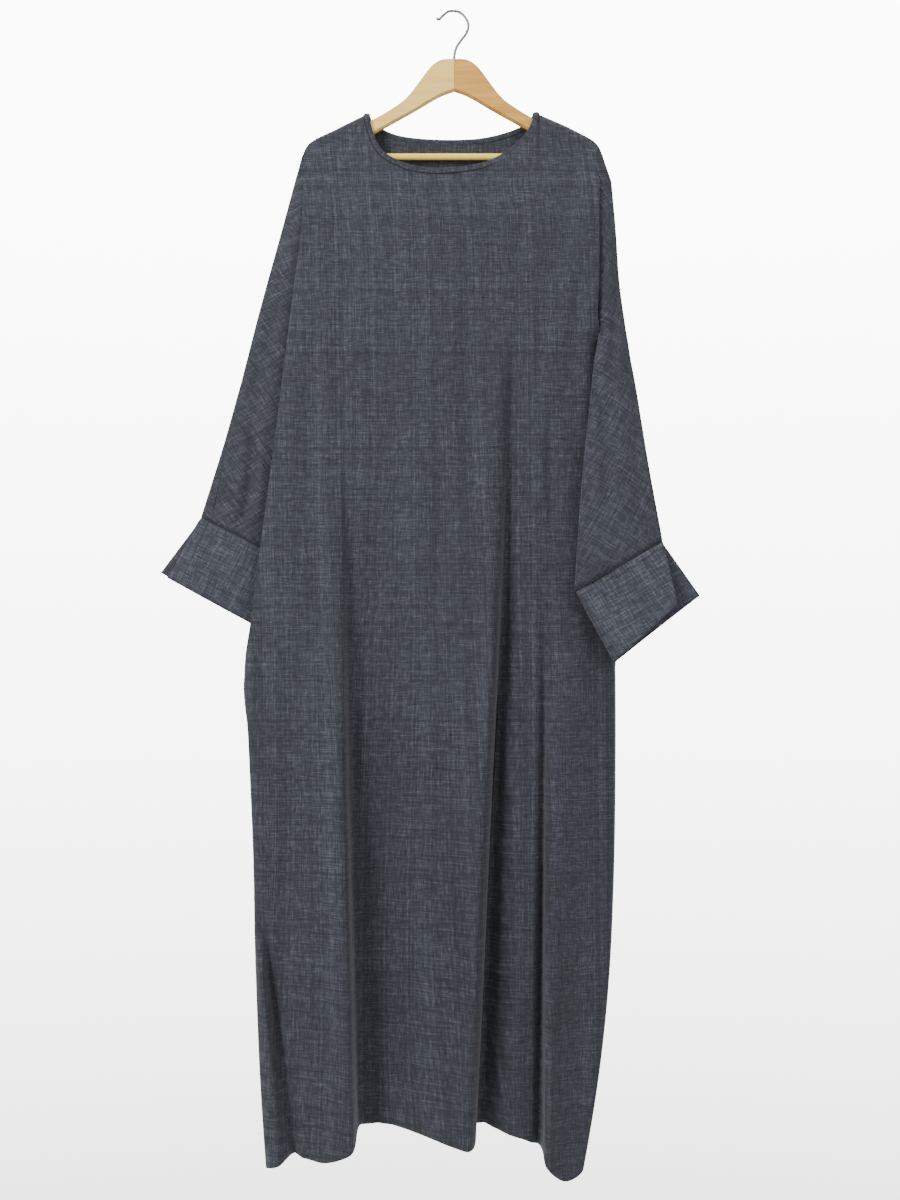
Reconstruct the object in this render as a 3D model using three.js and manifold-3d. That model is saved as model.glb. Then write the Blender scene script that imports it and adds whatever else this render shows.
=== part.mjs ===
// A long batwing abaya hanging from a wooden hanger.
// Millimetres, +Z up, +X to the viewer's right, the front faces -Y.
// The origin is the seat of the hook: the inside top of its bend, where a rail or nail carries it.
import * as THREE from 'three';
import { mergeVertices } from 'three/addons/utils/BufferGeometryUtils.js';
import Module from 'manifold-3d';

const wasm = await Module();
wasm.setup();

// ---------- driving dimensions ----------
const CLOTH = 1.5;            // wall of the woven cloth
const CUFF_CLOTH = 2.6;       // wall of a cuff, two layers of cloth
const SEAM_GAP = 0.3;         // between pieces at a seam
const SEAM_Y = (CLOTH + SEAM_GAP) / 2;
const BINDING_WIDTH = 8;      // bound neck edge, seen from the front
const BINDING_THICK = 3.2;
const WOOD_THICK = 12;        // hanger arms, front to back
const BAR_RADIUS = 5;
const BAR_Z = -213;
const BAR_HALF = 192;
const WIRE_RADIUS = 1.5;
const HOOK_DEPTH_IN_WOOD = 22;
const FIT = 0.3;              // clearance round the bar and the hook shank
const FIRST_Z = -250;         // the first level section of the cloth, below shoulders and neck
const HEM_Z = -1660;          // mean height of the hem
const HEM_REACH = 260;        // the hem's waves fade out over this height
const APEX_LEFT_Z = -545;     // top of the underarm seam inside the left fold
const APEX_RIGHT_Z = -470;    // and on the right, where the sleeve lies in front of the body

// ---------- the cloth's sections, a row for each height ----------
// over: over-arm seam. under: underarm seam, sleeve side. side: underarm or side seam, body side.
// edge: the fold where the body's front rolls back. Each has its x and its depth y.
const LEFT = [
  { z: -250, overX: -232, overY: 0, underX: -214, underY: -10, edgeX: -219, edgeY: -15 },
  { z: -320, overX: -251, overY: 0, underX: -207, underY: -7, edgeX: -221, edgeY: -21 },
  { z: -440, overX: -284, overY: 0, underX: -204, underY: -4, edgeX: -236, edgeY: -24 },
  { z: -545, overX: -311, overY: 0, underX: -204, underY: -1, edgeX: -249, edgeY: -26 },
];
const LEFT_BODY = [
  { z: -545, sideX: -204, sideY: -1, edgeX: -249, edgeY: -26 },
  { z: -650, sideX: -193, sideY: -1, edgeX: -262, edgeY: -27 },
  { z: -813, sideX: -207, sideY: -1, edgeX: -284, edgeY: -26 },
  { z: -900, sideX: -252, sideY: -1, edgeX: -296, edgeY: -22 },
  { z: -960, sideX: -303, sideY: -4, edgeX: -304, edgeY: -19 },
  { z: -1070, sideX: -300, sideY: -4, edgeX: -298, edgeY: -20 },
  { z: -1230, sideX: -293, sideY: -4, edgeX: -291, edgeY: -22 },
  { z: -1400, sideX: -289, sideY: -4, edgeX: -287, edgeY: -24 },
  { z: -1530, sideX: -283, sideY: -4, edgeX: -281, edgeY: -26 },
  { z: -1660, sideX: -274, sideY: -4, edgeX: -271, edgeY: -28 },
];
const RIGHT = [
  { z: -250, overX: 231, overY: -1, underX: 206, underY: -10, edgeX: 213, edgeY: -15 },
  { z: -320, overX: 237, overY: -4, underX: 201, underY: -9, edgeX: 212, edgeY: -21 },
  { z: -400, overX: 242, overY: -9, underX: 205, underY: -11, edgeX: 211, edgeY: -24 },
  { z: -470, overX: 251, overY: -14, underX: 213, underY: -18, edgeX: 206, edgeY: -27 },
];
const RIGHT_BODY = [
  { z: -470, sideX: 213, sideY: -18, edgeX: 206, edgeY: -27 },
  { z: -490, sideX: 209, sideY: -12, edgeX: 200, edgeY: -20 },
  { z: -515, sideX: 213, sideY: -8, edgeX: 201, edgeY: -18 },
  { z: -545, sideX: 218, sideY: -8, edgeX: 204, edgeY: -20 },
  { z: -700, sideX: 226, sideY: -4, edgeX: 212, edgeY: -20 },
  { z: -860, sideX: 232, sideY: -2, edgeX: 222, edgeY: -19 },
  { z: -960, sideX: 237, sideY: -1, edgeX: 231, edgeY: -19 },
  { z: -1160, sideX: 237, sideY: -1, edgeX: 232, edgeY: -20 },
  { z: -1300, sideX: 234, sideY: -1, edgeX: 229, edgeY: -22 },
  { z: -1430, sideX: 227, sideY: -1, edgeX: 222, edgeY: -26 },
  { z: -1530, sideX: 214, sideY: -1, edgeX: 210, edgeY: -30 },
  { z: -1660, sideX: 190, sideY: -1, edgeX: 186, edgeY: -34 },
];
// the free sleeves below the underarm apex, a row for each place along the sleeve;
// puff is how far its back stands out
const LEFT_SLEEVE = [
  { along: 0, overX: -311, overZ: -545, overY: 0, underX: -204, underZ: -545, underY: -1, puff: 8 },
  { along: 0.5, overX: -338, overZ: -640, overY: 1, underX: -214, underZ: -676, underY: -1, puff: 8 },
  { along: 1, overX: -370, overZ: -742, overY: 2, underX: -229, underZ: -812, underY: -1, puff: 8 },
];
const RIGHT_SLEEVE = [
  { along: 0, overX: 251, overZ: -470, overY: -14, underX: 213, underZ: -470, underY: -18, puff: 8 },
  { along: 0.06, overX: 254, overZ: -489, overY: -17, underX: 211, underZ: -491, underY: -28, puff: 3 },
  { along: 0.13, overX: 257, overZ: -511, overY: -19, underX: 206, underZ: -516, underY: -35, puff: 2 },
  { along: 0.25, overX: 264, overZ: -550, overY: -22, underX: 201, underZ: -560, underY: -38, puff: 2 },
  { along: 0.6, overX: 281, overZ: -665, overY: -36, underX: 186, underZ: -700, underY: -51, puff: 4 },
  { along: 1, overX: 300, overZ: -779, overY: -50, underX: 175, underZ: -850, underY: -62, puff: 7 },
];

// ---------- the folds of the front, a row for each fold ----------
// start: where the fold begins. x at the start, at mid height and at the hem.
// lip and root: how far the fold stands out and in at the hem. lean: the lip's side of the root.
const FRONT_FOLDS = {
  first: { start: -600, xStart: -156, xMid: -147, xHem: -134, lip: 20, root: 30, lean: -1 },
  soft: { start: -900, xStart: -30, xMid: -46, xHem: -74, lip: 0, root: 14, lean: -1 },
  second: { start: -430, xStart: 92, xMid: 65, xHem: 37, lip: 24, root: 32, lean: -1 },
  third: { start: -760, xStart: 134, xMid: 129, xHem: 126, lip: 14, root: 10, lean: 1 },
};
// the fold beside the left side seam, measured from the body's left edge
const OUTER_FOLD = { start: -1150, xStart: 30, xMid: 20, xHem: 35, root: 16 };
const FOLD_HALF = 7;          // from a fold's lip to its root, along X
const FRONT_DEPTH = [
  { z: -250, y: -17 }, { z: -320, y: -24 }, { z: -500, y: -28 }, { z: -800, y: -32 },
  { z: -1200, y: -38 }, { z: -1660, y: -42 },
];
const BACK_DEPTH = [
  { z: -250, y: 16 }, { z: -320, y: 22 }, { z: -500, y: 26 }, { z: -800, y: 28 },
  { z: -1200, y: 32 }, { z: -1660, y: 36 },
];
// the back's soft folds: x at the top and at the hem, and how far each stands out at the hem
const BACK_FOLDS = [
  { xTop: -170, xHem: -205, out: 10 },
  { xTop: -105, xHem: -140, out: -12 },
  { xTop: -40, xHem: -62, out: 12 },
  { xTop: 25, xHem: 18, out: -10 },
  { xTop: 90, xHem: 92, out: 13 },
  { xTop: 150, xHem: 140, out: -8 },
];

// ---------- top edges: shoulder seams and neck ----------
const SHOULDER_LEFT = [
  { x: -222, z: -214 }, { x: -212, z: -195 }, { x: -171, z: -173 }, { x: -133, z: -154 },
];
const SHOULDER_RIGHT = [
  { x: 126, z: -152 }, { x: 173, z: -173 }, { x: 210, z: -195 }, { x: 219, z: -214 },
];
// the finished neck edge, from left to right
const NECK_FRONT = [
  { x: -123, z: -150, y: 0 }, { x: -123, z: -156, y: -9 }, { x: -119, z: -175, y: -11 },
  { x: -103, z: -207, y: -13 }, { x: -60, z: -229, y: -15 }, { x: 0, z: -232, y: -16 },
  { x: 56, z: -220, y: -15 }, { x: 98, z: -190, y: -13 }, { x: 112, z: -170, y: -11 },
  { x: 117, z: -154, y: -9 }, { x: 117, z: -148, y: 0 },
];
const NECK_BACK = [
  { x: -123, z: -150, y: 0 }, { x: -120, z: -157, y: 9 }, { x: -106, z: -168, y: 11 },
  { x: -81, z: -178, y: 12 }, { x: -19, z: -184, y: 13 }, { x: 48, z: -181, y: 12 },
  { x: 98, z: -166, y: 11 }, { x: 113, z: -155, y: 9 }, { x: 117, z: -148, y: 0 },
];

// steps: places along each half
const NECK = {
  front: { rows: NECK_FRONT, steps: 29 },
  back: { rows: NECK_BACK, steps: 21 },
};

// ---------- small helpers ----------
const mix = (a, b, t) => a + (b - a) * t;
const clamp01 = (t) => Math.min(1, Math.max(0, t));
const ease = (t) => clamp01(t) ** 2 * (3 - 2 * clamp01(t));

// the value of one named column of a table at a key such as a height, eased between its rows
function column(rows, key, at, name) {
  const rising = rows[rows.length - 1][key] > rows[0][key] ? 1 : -1;
  let i = 0;
  while (i < rows.length - 2 && (at - rows[i + 1][key]) * rising > 0) i += 1;
  const span = rows[i + 1][key] - rows[i][key];
  const t = clamp01((at - rows[i][key]) / span);
  const slope = (k) => {
    const a = rows[Math.max(0, k - 1)];
    const b = rows[Math.min(rows.length - 1, k + 1)];
    return (b[name] - a[name]) / (b[key] - a[key]);
  };
  const [h0, h1] = [rows[i][name], rows[i + 1][name]];
  const [m0, m1] = [slope(i) * span, slope(i + 1) * span];
  return (2 * t ** 3 - 3 * t ** 2 + 1) * h0 + (t ** 3 - 2 * t ** 2 + t) * m0
    + (3 * t ** 2 - 2 * t ** 3) * h1 + (t ** 3 - t ** 2) * m1;
}

// points along a smooth curve, with so many steps in each span of its control points
function alongCurve(controls, steps) {
  const points = controls.map((c) => new THREE.Vector3(...c));
  const curve = new THREE.CatmullRomCurve3(points, false, 'centripetal');
  const out = [];
  steps.forEach((count, span) => {
    for (let k = 0; k < count; k += 1) out.push(curve.getPoint((span + k / count) / steps.length));
  });
  out.push(points[points.length - 1].clone());
  return out;
}

// ---------- sections of the front and back, body part ----------
// how far a fold has grown at a height: quickly at first, and whole a little above the hem
const GROWTH_REACH = 1.15;
const GROWTH_POWER = 0.8;
const grown = (z, start) => ease((start - z) / (start - HEM_Z) * GROWTH_REACH) ** GROWTH_POWER;
const foldX = (fold, z) => {
  const middle = (fold.start + HEM_Z) / 2;
  return z > middle
    ? mix(fold.xStart, fold.xMid, clamp01((fold.start - z) / (fold.start - middle)))
    : mix(fold.xMid, fold.xHem, clamp01((middle - z) / (middle - HEM_Z)));
};

// the side of the body at a height: its seam and the fold beside it, on the left or right
function sideOf(upper, body, apexZ, z) {
  const rows = z > apexZ ? upper : body;
  const seam = z > apexZ ? 'under' : 'side';
  return {
    seamX: column(rows, 'z', z, `${seam}X`), seamY: column(rows, 'z', z, `${seam}Y`),
    edgeX: column(rows, 'z', z, 'edgeX'), edgeY: column(rows, 'z', z, 'edgeY'),
  };
}

// columns between the front's control points, and the hem's height at each of those points
const FRONT_STEPS = [3, 3, 2, 2, 3, 3, 3, 4, 3, 2, 2, 2, 2, 2, 3];
const FRONT_HEM = [
  -1690, -1690, -1684, -1672, -1677, -1657, -1632, -1634, -1652, -1630, -1640,
  -1660, -1680, -1706, -1694, -1668,
];

const FIRST_SWELL = 5;        // the cloth left of the first fold stands out
const SECOND_SWELL = 6;       // and right of the second fold it stands in

function frontSection(z) {
  const left = sideOf(LEFT, LEFT_BODY, APEX_LEFT_Z, z);
  const right = sideOf(RIGHT, RIGHT_BODY, APEX_RIGHT_Z, z);
  const depth = column(FRONT_DEPTH, 'z', z, 'y');
  const lip = (f) => [foldX(f, z) + f.lean * FOLD_HALF, depth - f.lip * grown(z, f.start)];
  const root = (f) => [foldX(f, z), depth + f.root * grown(z, f.start)];
  const { first, soft, second, third } = FRONT_FOLDS;
  const outerX = left.edgeX + foldX(OUTER_FOLD, z);
  const outerY = depth + OUTER_FOLD.root * grown(z, OUTER_FOLD.start);
  const flat = [
    [left.seamX, left.seamY], [left.edgeX, left.edgeY],
    [mix(left.edgeX, outerX, 0.5), mix(left.edgeY, depth, 0.9)],
    [outerX, outerY],
    [mix(outerX, foldX(first, z), 0.5), depth - FIRST_SWELL * grown(z, first.start)],
    lip(first), root(first), root(soft), lip(second), root(second),
    [mix(foldX(second, z), foldX(third, z), 0.5), depth + SECOND_SWELL * grown(z, second.start)],
    root(third), lip(third),
    [mix(foldX(third, z), right.edgeX, 0.6), mix(depth, right.edgeY, 0.35)],
    [right.edgeX, right.edgeY], [right.seamX, right.seamY],
  ];
  const wave = ease((HEM_Z + HEM_REACH - z) / HEM_REACH);
  const controls = flat.map(([x, y], i) => [x, y, z + (FRONT_HEM[i] - HEM_Z) * wave]);
  return alongCurve(controls, FRONT_STEPS);
}

// front and back stand a little further apart where the right seam turns on edge, at its apex
const APEX_EASE = 1.6;
const APEX_EASE_HEIGHT = 45;
const apart = (z) => 2 * SEAM_Y + APEX_EASE * Math.exp(-(((z - APEX_RIGHT_Z) / APEX_EASE_HEIGHT) ** 2));

const BACK_STEPS = [3, 3, 3, 3, 3, 3, 3, 3, 3];
const BACK_HEM_Z = -1642;
const BACK_EDGE_Y = 18;       // the back is flatter beside its edges

function backSection(z) {
  const left = sideOf(LEFT, LEFT_BODY, APEX_LEFT_Z, z);
  const right = sideOf(RIGHT, RIGHT_BODY, APEX_RIGHT_Z, z);
  const depth = column(BACK_DEPTH, 'z', z, 'y');
  const down = clamp01((z - FIRST_Z) / (HEM_Z - FIRST_Z));
  const folds = BACK_FOLDS.map((f) => [mix(f.xTop, f.xHem, down), depth + f.out * ease(down)]);
  const edgeDepth = mix(depth, BACK_EDGE_Y, 0.3);
  const flat = [
    [left.seamX, left.seamY + 2 * SEAM_Y], [left.edgeX + 3, edgeDepth], ...folds,
    [right.edgeX - 2, edgeDepth], [right.seamX, right.seamY + apart(z)],
  ];
  const wave = ease((HEM_Z + HEM_REACH - z) / HEM_REACH);
  return alongCurve(flat.map(([x, y]) => [x, y, z + (BACK_HEM_Z - HEM_Z) * wave]), BACK_STEPS);
}

// ---------- sleeves ----------
const SLEEVE_STEPS = 5;
const SLEEVE_PUFF = 8;        // how far each side of the sleeve stands out from its flat middle
const PUFF_HEIGHT = 150;      // half of the puff grows over this height, below the first section
// one side's sleeve between its over-arm seam and its underarm seam; face is -1 front, 1 back
function sleeveAcross(over, under, face, puff) {
  const seam = face < 0 ? 0 : (under.x > 0 ? apart(under.z) : 2 * SEAM_Y);
  const controls = [
    { share: 0, out: face * SEAM_Y },
    { share: 0.25, out: face * puff * 0.8 },
    { share: 0.5, out: face * puff },
    { share: 0.8, out: face * puff * 0.7 },
    { share: 1, out: seam },
  ].map(({ share, out }) => {
    const point = over.clone().lerp(under, share);
    return point.setY(point.y + out);
  });
  const curve = new THREE.CatmullRomCurve3(controls, false, 'centripetal');
  return Array.from({ length: SLEEVE_STEPS + 1 }, (_, k) => curve.getPoint(k / SLEEVE_STEPS));
}

function attachedSleeve(rows, z, face) {
  const at = (name) => column(rows, 'z', z, name);
  const over = new THREE.Vector3(at('overX'), at('overY'), z);
  const under = new THREE.Vector3(at('underX'), at('underY'), z);
  const puff = SLEEVE_PUFF * clamp01(0.5 + (FIRST_Z - z) / PUFF_HEIGHT);
  return sleeveAcross(over, under, face, puff);
}

function freeSleeve(rows, along, face) {
  const at = (name) => column(rows, 'along', along, name);
  const over = new THREE.Vector3(at('overX'), at('overY'), at('overZ'));
  const under = new THREE.Vector3(at('underX'), at('underY'), at('underZ'));
  return sleeveAcross(over, under, face, face < 0 ? SLEEVE_PUFF : at('puff'));
}

// ---------- the top edge of a panel: shoulder seam, neck, shoulder seam ----------
function evenly(curve, count) {
  return Array.from({ length: count + 1 }, (_, k) => curve.getPointAt(k / count));
}
function pathOf(rows) {
  const points = rows.map((r) => new THREE.Vector3(r.x, r.y ?? 0, r.z));
  return new THREE.CatmullRomCurve3(points, false, 'centripetal');
}
const SHOULDER_RUN = 2;       // the shoulder seam falls one for this much run
const SHOULDER_DROP = 1;
// places along half of the neck, each with the direction from the opening into the cloth
function neckPlaces(neck) {
  const points = evenly(pathOf(neck.rows), neck.steps);
  return points.map((point, k) => {
    const last = points[Math.max(0, k - 1)];
    const next = points[Math.min(points.length - 1, k + 1)];
    const forward = next.clone().sub(last).setY(0).normalize();
    const away = new THREE.Vector3(forward.z, 0, -forward.x);
    if (k === 0) away.set(-SHOULDER_RUN, 0, -SHOULDER_DROP).normalize();
    if (k === points.length - 1) away.set(SHOULDER_RUN, 0, -SHOULDER_DROP).normalize();
    return { point, away };
  });
}
// places along a shoulder seam: the sleeve's columns gather at its outer end, the body's follow
const SLEEVE_SHARE = 0.15;
function shoulderPlaces(rows, steps) {
  const curve = pathOf(rows);
  const outerFirst = rows[0].z < rows[rows.length - 1].z;
  return Array.from({ length: steps + 1 }, (_, k) => {
    const place = outerFirst ? k : steps - k;
    const share = place <= SLEEVE_STEPS
      ? SLEEVE_SHARE * place / SLEEVE_STEPS
      : mix(SLEEVE_SHARE, 1, (place - SLEEVE_STEPS) / (steps - SLEEVE_STEPS));
    return curve.getPointAt(outerFirst ? share : 1 - share);
  });
}
function topEdge(neck, face, shoulderSteps) {
  const left = shoulderPlaces(SHOULDER_LEFT, shoulderSteps);
  const right = shoulderPlaces(SHOULDER_RIGHT, shoulderSteps);
  const seam = BINDING_WIDTH + SEAM_GAP;
  const middle = neckPlaces(neck).slice(1, -1)
    .map(({ point, away }) => point.clone().add(away.clone().multiplyScalar(seam)));
  return [...left, ...middle, ...right].map((p) => p.setY(face * Math.max(SEAM_Y, Math.abs(p.y))));
}

// ---------- closed walls from a mid surface ----------
class Sheet {
  constructor() {
    this.points = [];
    this.faces = [];
  }
  row(points) {
    const first = this.points.length;
    this.points.push(...points);
    return points.map((_, i) => first + i);
  }
  strip(above, below) {
    for (let i = 0; i + 1 < above.length; i += 1) {
      this.faces.push([above[i], below[i], below[i + 1]]);
      this.faces.push([above[i], below[i + 1], above[i + 1]]);
    }
  }
  // both sides, half the thickness out along the surface's own directions, closed round the rim
  wall(thickness, flip) {
    const faces = flip ? this.faces.map(([a, b, c]) => [a, c, b]) : this.faces;
    const normals = this.points.map(() => new THREE.Vector3());
    const edges = new Map();
    for (const [a, b, c] of faces) {
      const [p, q, r] = [this.points[a], this.points[b], this.points[c]];
      const normal = q.clone().sub(p).cross(r.clone().sub(p));
      [a, b, c].forEach((k) => normals[k].add(normal));
      [[a, b], [b, c], [c, a]].forEach(([s, e]) => edges.set(`${s},${e}`, [s, e]));
    }
    const count = this.points.length;
    const positions = [];
    for (const side of [0.5, -0.5]) {
      this.points.forEach((p, k) => {
        const n = normals[k].clone().normalize().multiplyScalar(side * thickness);
        positions.push(p.x + n.x, p.y + n.y, p.z + n.z);
      });
    }
    const index = [];
    for (const [a, b, c] of faces) index.push(a, b, c, a + count, c + count, b + count);
    for (const [s, e] of edges.values()) {
      if (edges.has(`${e},${s}`)) continue;
      index.push(e, s, s + count, e, s + count, e + count);
    }
    const geometry = new THREE.BufferGeometry();
    geometry.setAttribute('position', new THREE.Float32BufferAttribute(positions, 3));
    geometry.setIndex(index);
    return geometry;
  }
}

// ---------- front and back panels, each cut in one with its half of both sleeves ----------
const TOP_SHARES = [0, 0.07, 0.2, 0.42, 0.7];     // rows between the top edge and the first section
const OVER_WOOD_Y = 8.4;      // the cloth's middle, where it hangs over the hanger's arms
const BODY_ROWS = [
  FIRST_Z, -285, -325, -370, -420, -470, -490, -515, -545, -590, -640, -695, -750, -805, -855,
  -900, -932, -960, -1005, -1050, -1095, -1140, -1185, -1230, -1275, -1320, -1365, -1410,
  -1455, -1500, -1545, -1585, -1625, HEM_Z,
];
const FREE_ROWS = [0.06, 0.13, 0.25, 0.4, 0.55, 0.7, 0.85, 1];

function panel(face) {
  const section = face < 0 ? frontSection : backSection;
  const neck = face < 0 ? NECK.front : NECK.back;
  // a level row: the body, with a sleeve beside it on each side where that is still attached
  const across = (z) => {
    const left = z < APEX_LEFT_Z ? [] : attachedSleeve(LEFT, z, face).slice(0, -1);
    const right = z < APEX_RIGHT_Z ? [] : attachedSleeve(RIGHT, z, face).reverse().slice(1);
    return [...left, ...section(z), ...right];
  };
  const sheet = new Sheet();
  const start = across(FIRST_Z);
  const top = topEdge(neck, face, (start.length - 1 - neck.steps) / 2);
  let previous = null;
  let leftSleeve = null;
  let rightSleeve = null;
  for (const share of TOP_SHARES) {
    // the seam at the top, and at the two outer ends, stays closed round the wood
    const points = top.map((p, i) => {
      const y = mix(p.y, start[i].y, share);
      const atSeam = share === 0 || i === 0 || i === top.length - 1;
      const out = atSeam ? y : face * Math.max(OVER_WOOD_Y, Math.abs(y));
      return new THREE.Vector3(mix(p.x, start[i].x, share), out, mix(p.z, start[i].z, share));
    });
    const row = sheet.row(points);
    if (previous) sheet.strip(previous, row);
    previous = row;
  }
  for (const z of BODY_ROWS) {
    const row = sheet.row(across(z));
    let above = previous;
    if (z < APEX_LEFT_Z && leftSleeve === null) {
      leftSleeve = above.slice(0, SLEEVE_STEPS + 1);
      above = above.slice(SLEEVE_STEPS);
    }
    if (z < APEX_RIGHT_Z && rightSleeve === null) {
      rightSleeve = above.slice(-SLEEVE_STEPS - 1);
      above = above.slice(0, -SLEEVE_STEPS);
    }
    sheet.strip(above, row);
    previous = row;
  }
  for (const along of FREE_ROWS) {
    const left = sheet.row(freeSleeve(LEFT_SLEEVE, along, face));
    const right = sheet.row(freeSleeve(RIGHT_SLEEVE, along, face).reverse());
    sheet.strip(leftSleeve, left);
    sheet.strip(rightSleeve, right);
    [leftSleeve, rightSleeve] = [left, right];
  }
  return sheet.wall(CLOTH, face > 0);
}

// ---------- cuffs: a deep band, folded at the underarm and slit open over the arm ----------
const CUFF_GAP = 0.7;         // along the sleeve, between its end and the cuff
const CUFF_ACROSS = 6;
const CUFF_DOWN = 4;
const CUFF_PUFF = 7;          // how far each side stands out from the cuff's flat middle
const CUFF_SLIT = 0.9;        // and how far each stands off where the slit opens
const PUFF_AT_SLIT = 0.16;    // share of the swell's half wave that lies beyond the slit
const CUFFS = {
  left: {
    sleeve: LEFT_SLEEVE[2], inner: { x: -285, y: 1, z: -906 },
    frontTip: { x: -419, y: -5, z: -832 }, backTip: { x: -433, y: 12, z: -824 },
  },
  right: {
    sleeve: RIGHT_SLEEVE[5], inner: { x: 231, y: -62, z: -954 },
    frontTip: { x: 321, y: -66, z: -870 }, backTip: { x: 356, y: -46, z: -858 },
  },
};
function cuff({ sleeve, inner, frontTip, backTip }, flip) {
  const vector = (p) => new THREE.Vector3(p.x, p.y, p.z);
  const over = new THREE.Vector3(sleeve.overX, sleeve.overY, sleeve.overZ);
  const under = new THREE.Vector3(sleeve.underX, sleeve.underY, sleeve.underZ);
  const gap = vector(inner).sub(under).setLength(CUFF_GAP);
  const across = (edge, fold, face) => Array.from({ length: CUFF_ACROSS + 1 }, (_, k) => {
    const t = k / CUFF_ACROSS;
    const swell = Math.sin(Math.PI * Math.min(1, mix(PUFF_AT_SLIT, 1, t)));
    const point = edge.clone().lerp(fold, t);
    return point.setY(point.y + face * (CUFF_PUFF * swell + CUFF_SLIT * (1 - t)));
  });
  const sheet = new Sheet();
  let previous = null;
  for (let down = 0; down <= CUFF_DOWN; down += 1) {
    const share = down / CUFF_DOWN;
    const fold = under.clone().add(gap).lerp(vector(inner), share);
    fold.y += SEAM_Y;
    const edge = (tip) => over.clone().add(gap).lerp(vector(tip), share);
    const front = across(edge(frontTip), fold, -1);
    const back = across(edge(backTip), fold, 1);
    const row = sheet.row([...front, ...back.reverse().slice(1)]);
    if (previous) sheet.strip(previous, row);
    previous = row;
  }
  return sheet.wall(CUFF_CLOTH, flip);
}

// ---------- the bound neck edge: one strip all round ----------
const BINDING_SECTION = 8;    // sides of its rounded flat section
const BINDING_SQUARE = 0.6;   // 1 is an ellipse, and less is squarer, across its width
const BINDING_ROUND = 0.8;    // and through its thickness
const BINDING_CLEAR = 0.1;    // the section stays this far inside its width at each side
function binding() {
  const front = neckPlaces(NECK.front).slice(0, -1);
  const back = neckPlaces(NECK.back).reverse().slice(0, -1);
  const loop = [...front, ...back];
  const power = (value, exponent) => Math.sign(value) * Math.abs(value) ** exponent;
  const points = loop.flatMap(({ point, away }, k) => {
    const next = loop[(k + 1) % loop.length].point;
    const last = loop[(k + loop.length - 1) % loop.length].point;
    const out = next.clone().sub(last).cross(away).normalize();
    const middle = point.clone().addScaledVector(away, BINDING_WIDTH / 2);
    return Array.from({ length: BINDING_SECTION }, (_, s) => {
      const angle = (s + 0.5) / BINDING_SECTION * 2 * Math.PI;
      const wide = power(Math.cos(angle), BINDING_SQUARE) * (BINDING_WIDTH / 2 - BINDING_CLEAR);
      const deep = power(Math.sin(angle), BINDING_ROUND) * BINDING_THICK / 2;
      return middle.clone().addScaledVector(away, wide).addScaledVector(out, deep);
    });
  });
  const index = [];
  const id = (k, s) => (k % loop.length) * BINDING_SECTION + (s % BINDING_SECTION);
  for (let k = 0; k < loop.length; k += 1) {
    for (let s = 0; s < BINDING_SECTION; s += 1) {
      index.push(id(k, s), id(k + 1, s + 1), id(k + 1, s));
      index.push(id(k, s), id(k, s + 1), id(k + 1, s + 1));
    }
  }
  const geometry = new THREE.BufferGeometry().setFromPoints(points);
  geometry.setIndex(index);
  return geometry;
}

// ---------- the hanger ----------
const MIDDLE_X = 1;           // where the two arms meet, and the hook's shank
const WOOD_TOP_Z = -70;
const WOOD_UNDER_Z = -117;    // underside of the arms where they meet
const ARM_GAP = 0.3;
const ARM_BEVEL = 2.5;
// the right arm's outline, mirrored for the left: along its top, round its end, back underneath
const ARM_TOP = [
  { x: 16, z: WOOD_TOP_Z }, { x: 24, z: -76 }, { x: 38, z: -93 }, { x: 52, z: -113 },
  { x: 68, z: -130 }, { x: 90, z: -143 }, { x: 121, z: -159.1 }, { x: 165, z: -178 },
  { x: 200, z: -196 }, { x: 212, z: -206 },
];
const ARM_END = [{ x: 217, z: -216 }, { x: 214, z: -226 }, { x: 204, z: -228 }];
const ARM_UNDER = [
  { x: 160, z: -204 }, { x: 112, z: -176 }, { x: 60, z: -147 }, { x: 20, z: -124 },
  { x: MIDDLE_X, z: WOOD_UNDER_Z },
];
const BAR_HOLE_START = 132;   // the bar's blind hole runs from here, inside the arm's curve
const ROD_SIDES = 20;
const SHANK_HOLE_SIDES = 12;
const HOOK_STEPS = 44;
// the hook's wire, from its tip over the seat and down into the wood
const HOOK_WIRE = [
  { x: -25, z: -9 }, { x: -22, z: -11 }, { x: -15, z: -5 }, { x: -8, z: WIRE_RADIUS - 1 },
  { x: 0, z: WIRE_RADIUS }, { x: 9, z: WIRE_RADIUS - 2 }, { x: 18, z: -9 }, { x: 22, z: -20 },
  { x: 19, z: -31 }, { x: 11, z: -42 }, { x: 5, z: -51 }, { x: MIDDLE_X + 1, z: -60 },
  { x: MIDDLE_X, z: WOOD_TOP_Z }, { x: MIDDLE_X, z: WOOD_TOP_Z - HOOK_DEPTH_IN_WOOD + 2 },
];

const asGeometry = (solid) => {
  const mesh = solid.getMesh();
  const geometry = new THREE.BufferGeometry();
  const positions = new Float32Array(mesh.numVert * 3);
  for (let k = 0; k < mesh.numVert; k += 1) {
    for (let a = 0; a < 3; a += 1) positions[3 * k + a] = mesh.vertProperties[mesh.numProp * k + a];
  }
  geometry.setAttribute('position', new THREE.BufferAttribute(positions, 3));
  geometry.setIndex(new THREE.BufferAttribute(new Uint32Array(mesh.triVerts), 1));
  return geometry;
};
const asSolid = (geometry) => {
  const bare = geometry.clone();
  for (const name of ['normal', 'uv']) bare.deleteAttribute(name);
  const merged = mergeVertices(bare, 1e-4);
  return new wasm.Manifold(new wasm.Mesh({
    numProp: 3,
    vertProperties: new Float32Array(merged.attributes.position.array),
    triVerts: new Uint32Array(merged.index.array),
  }));
};

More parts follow.
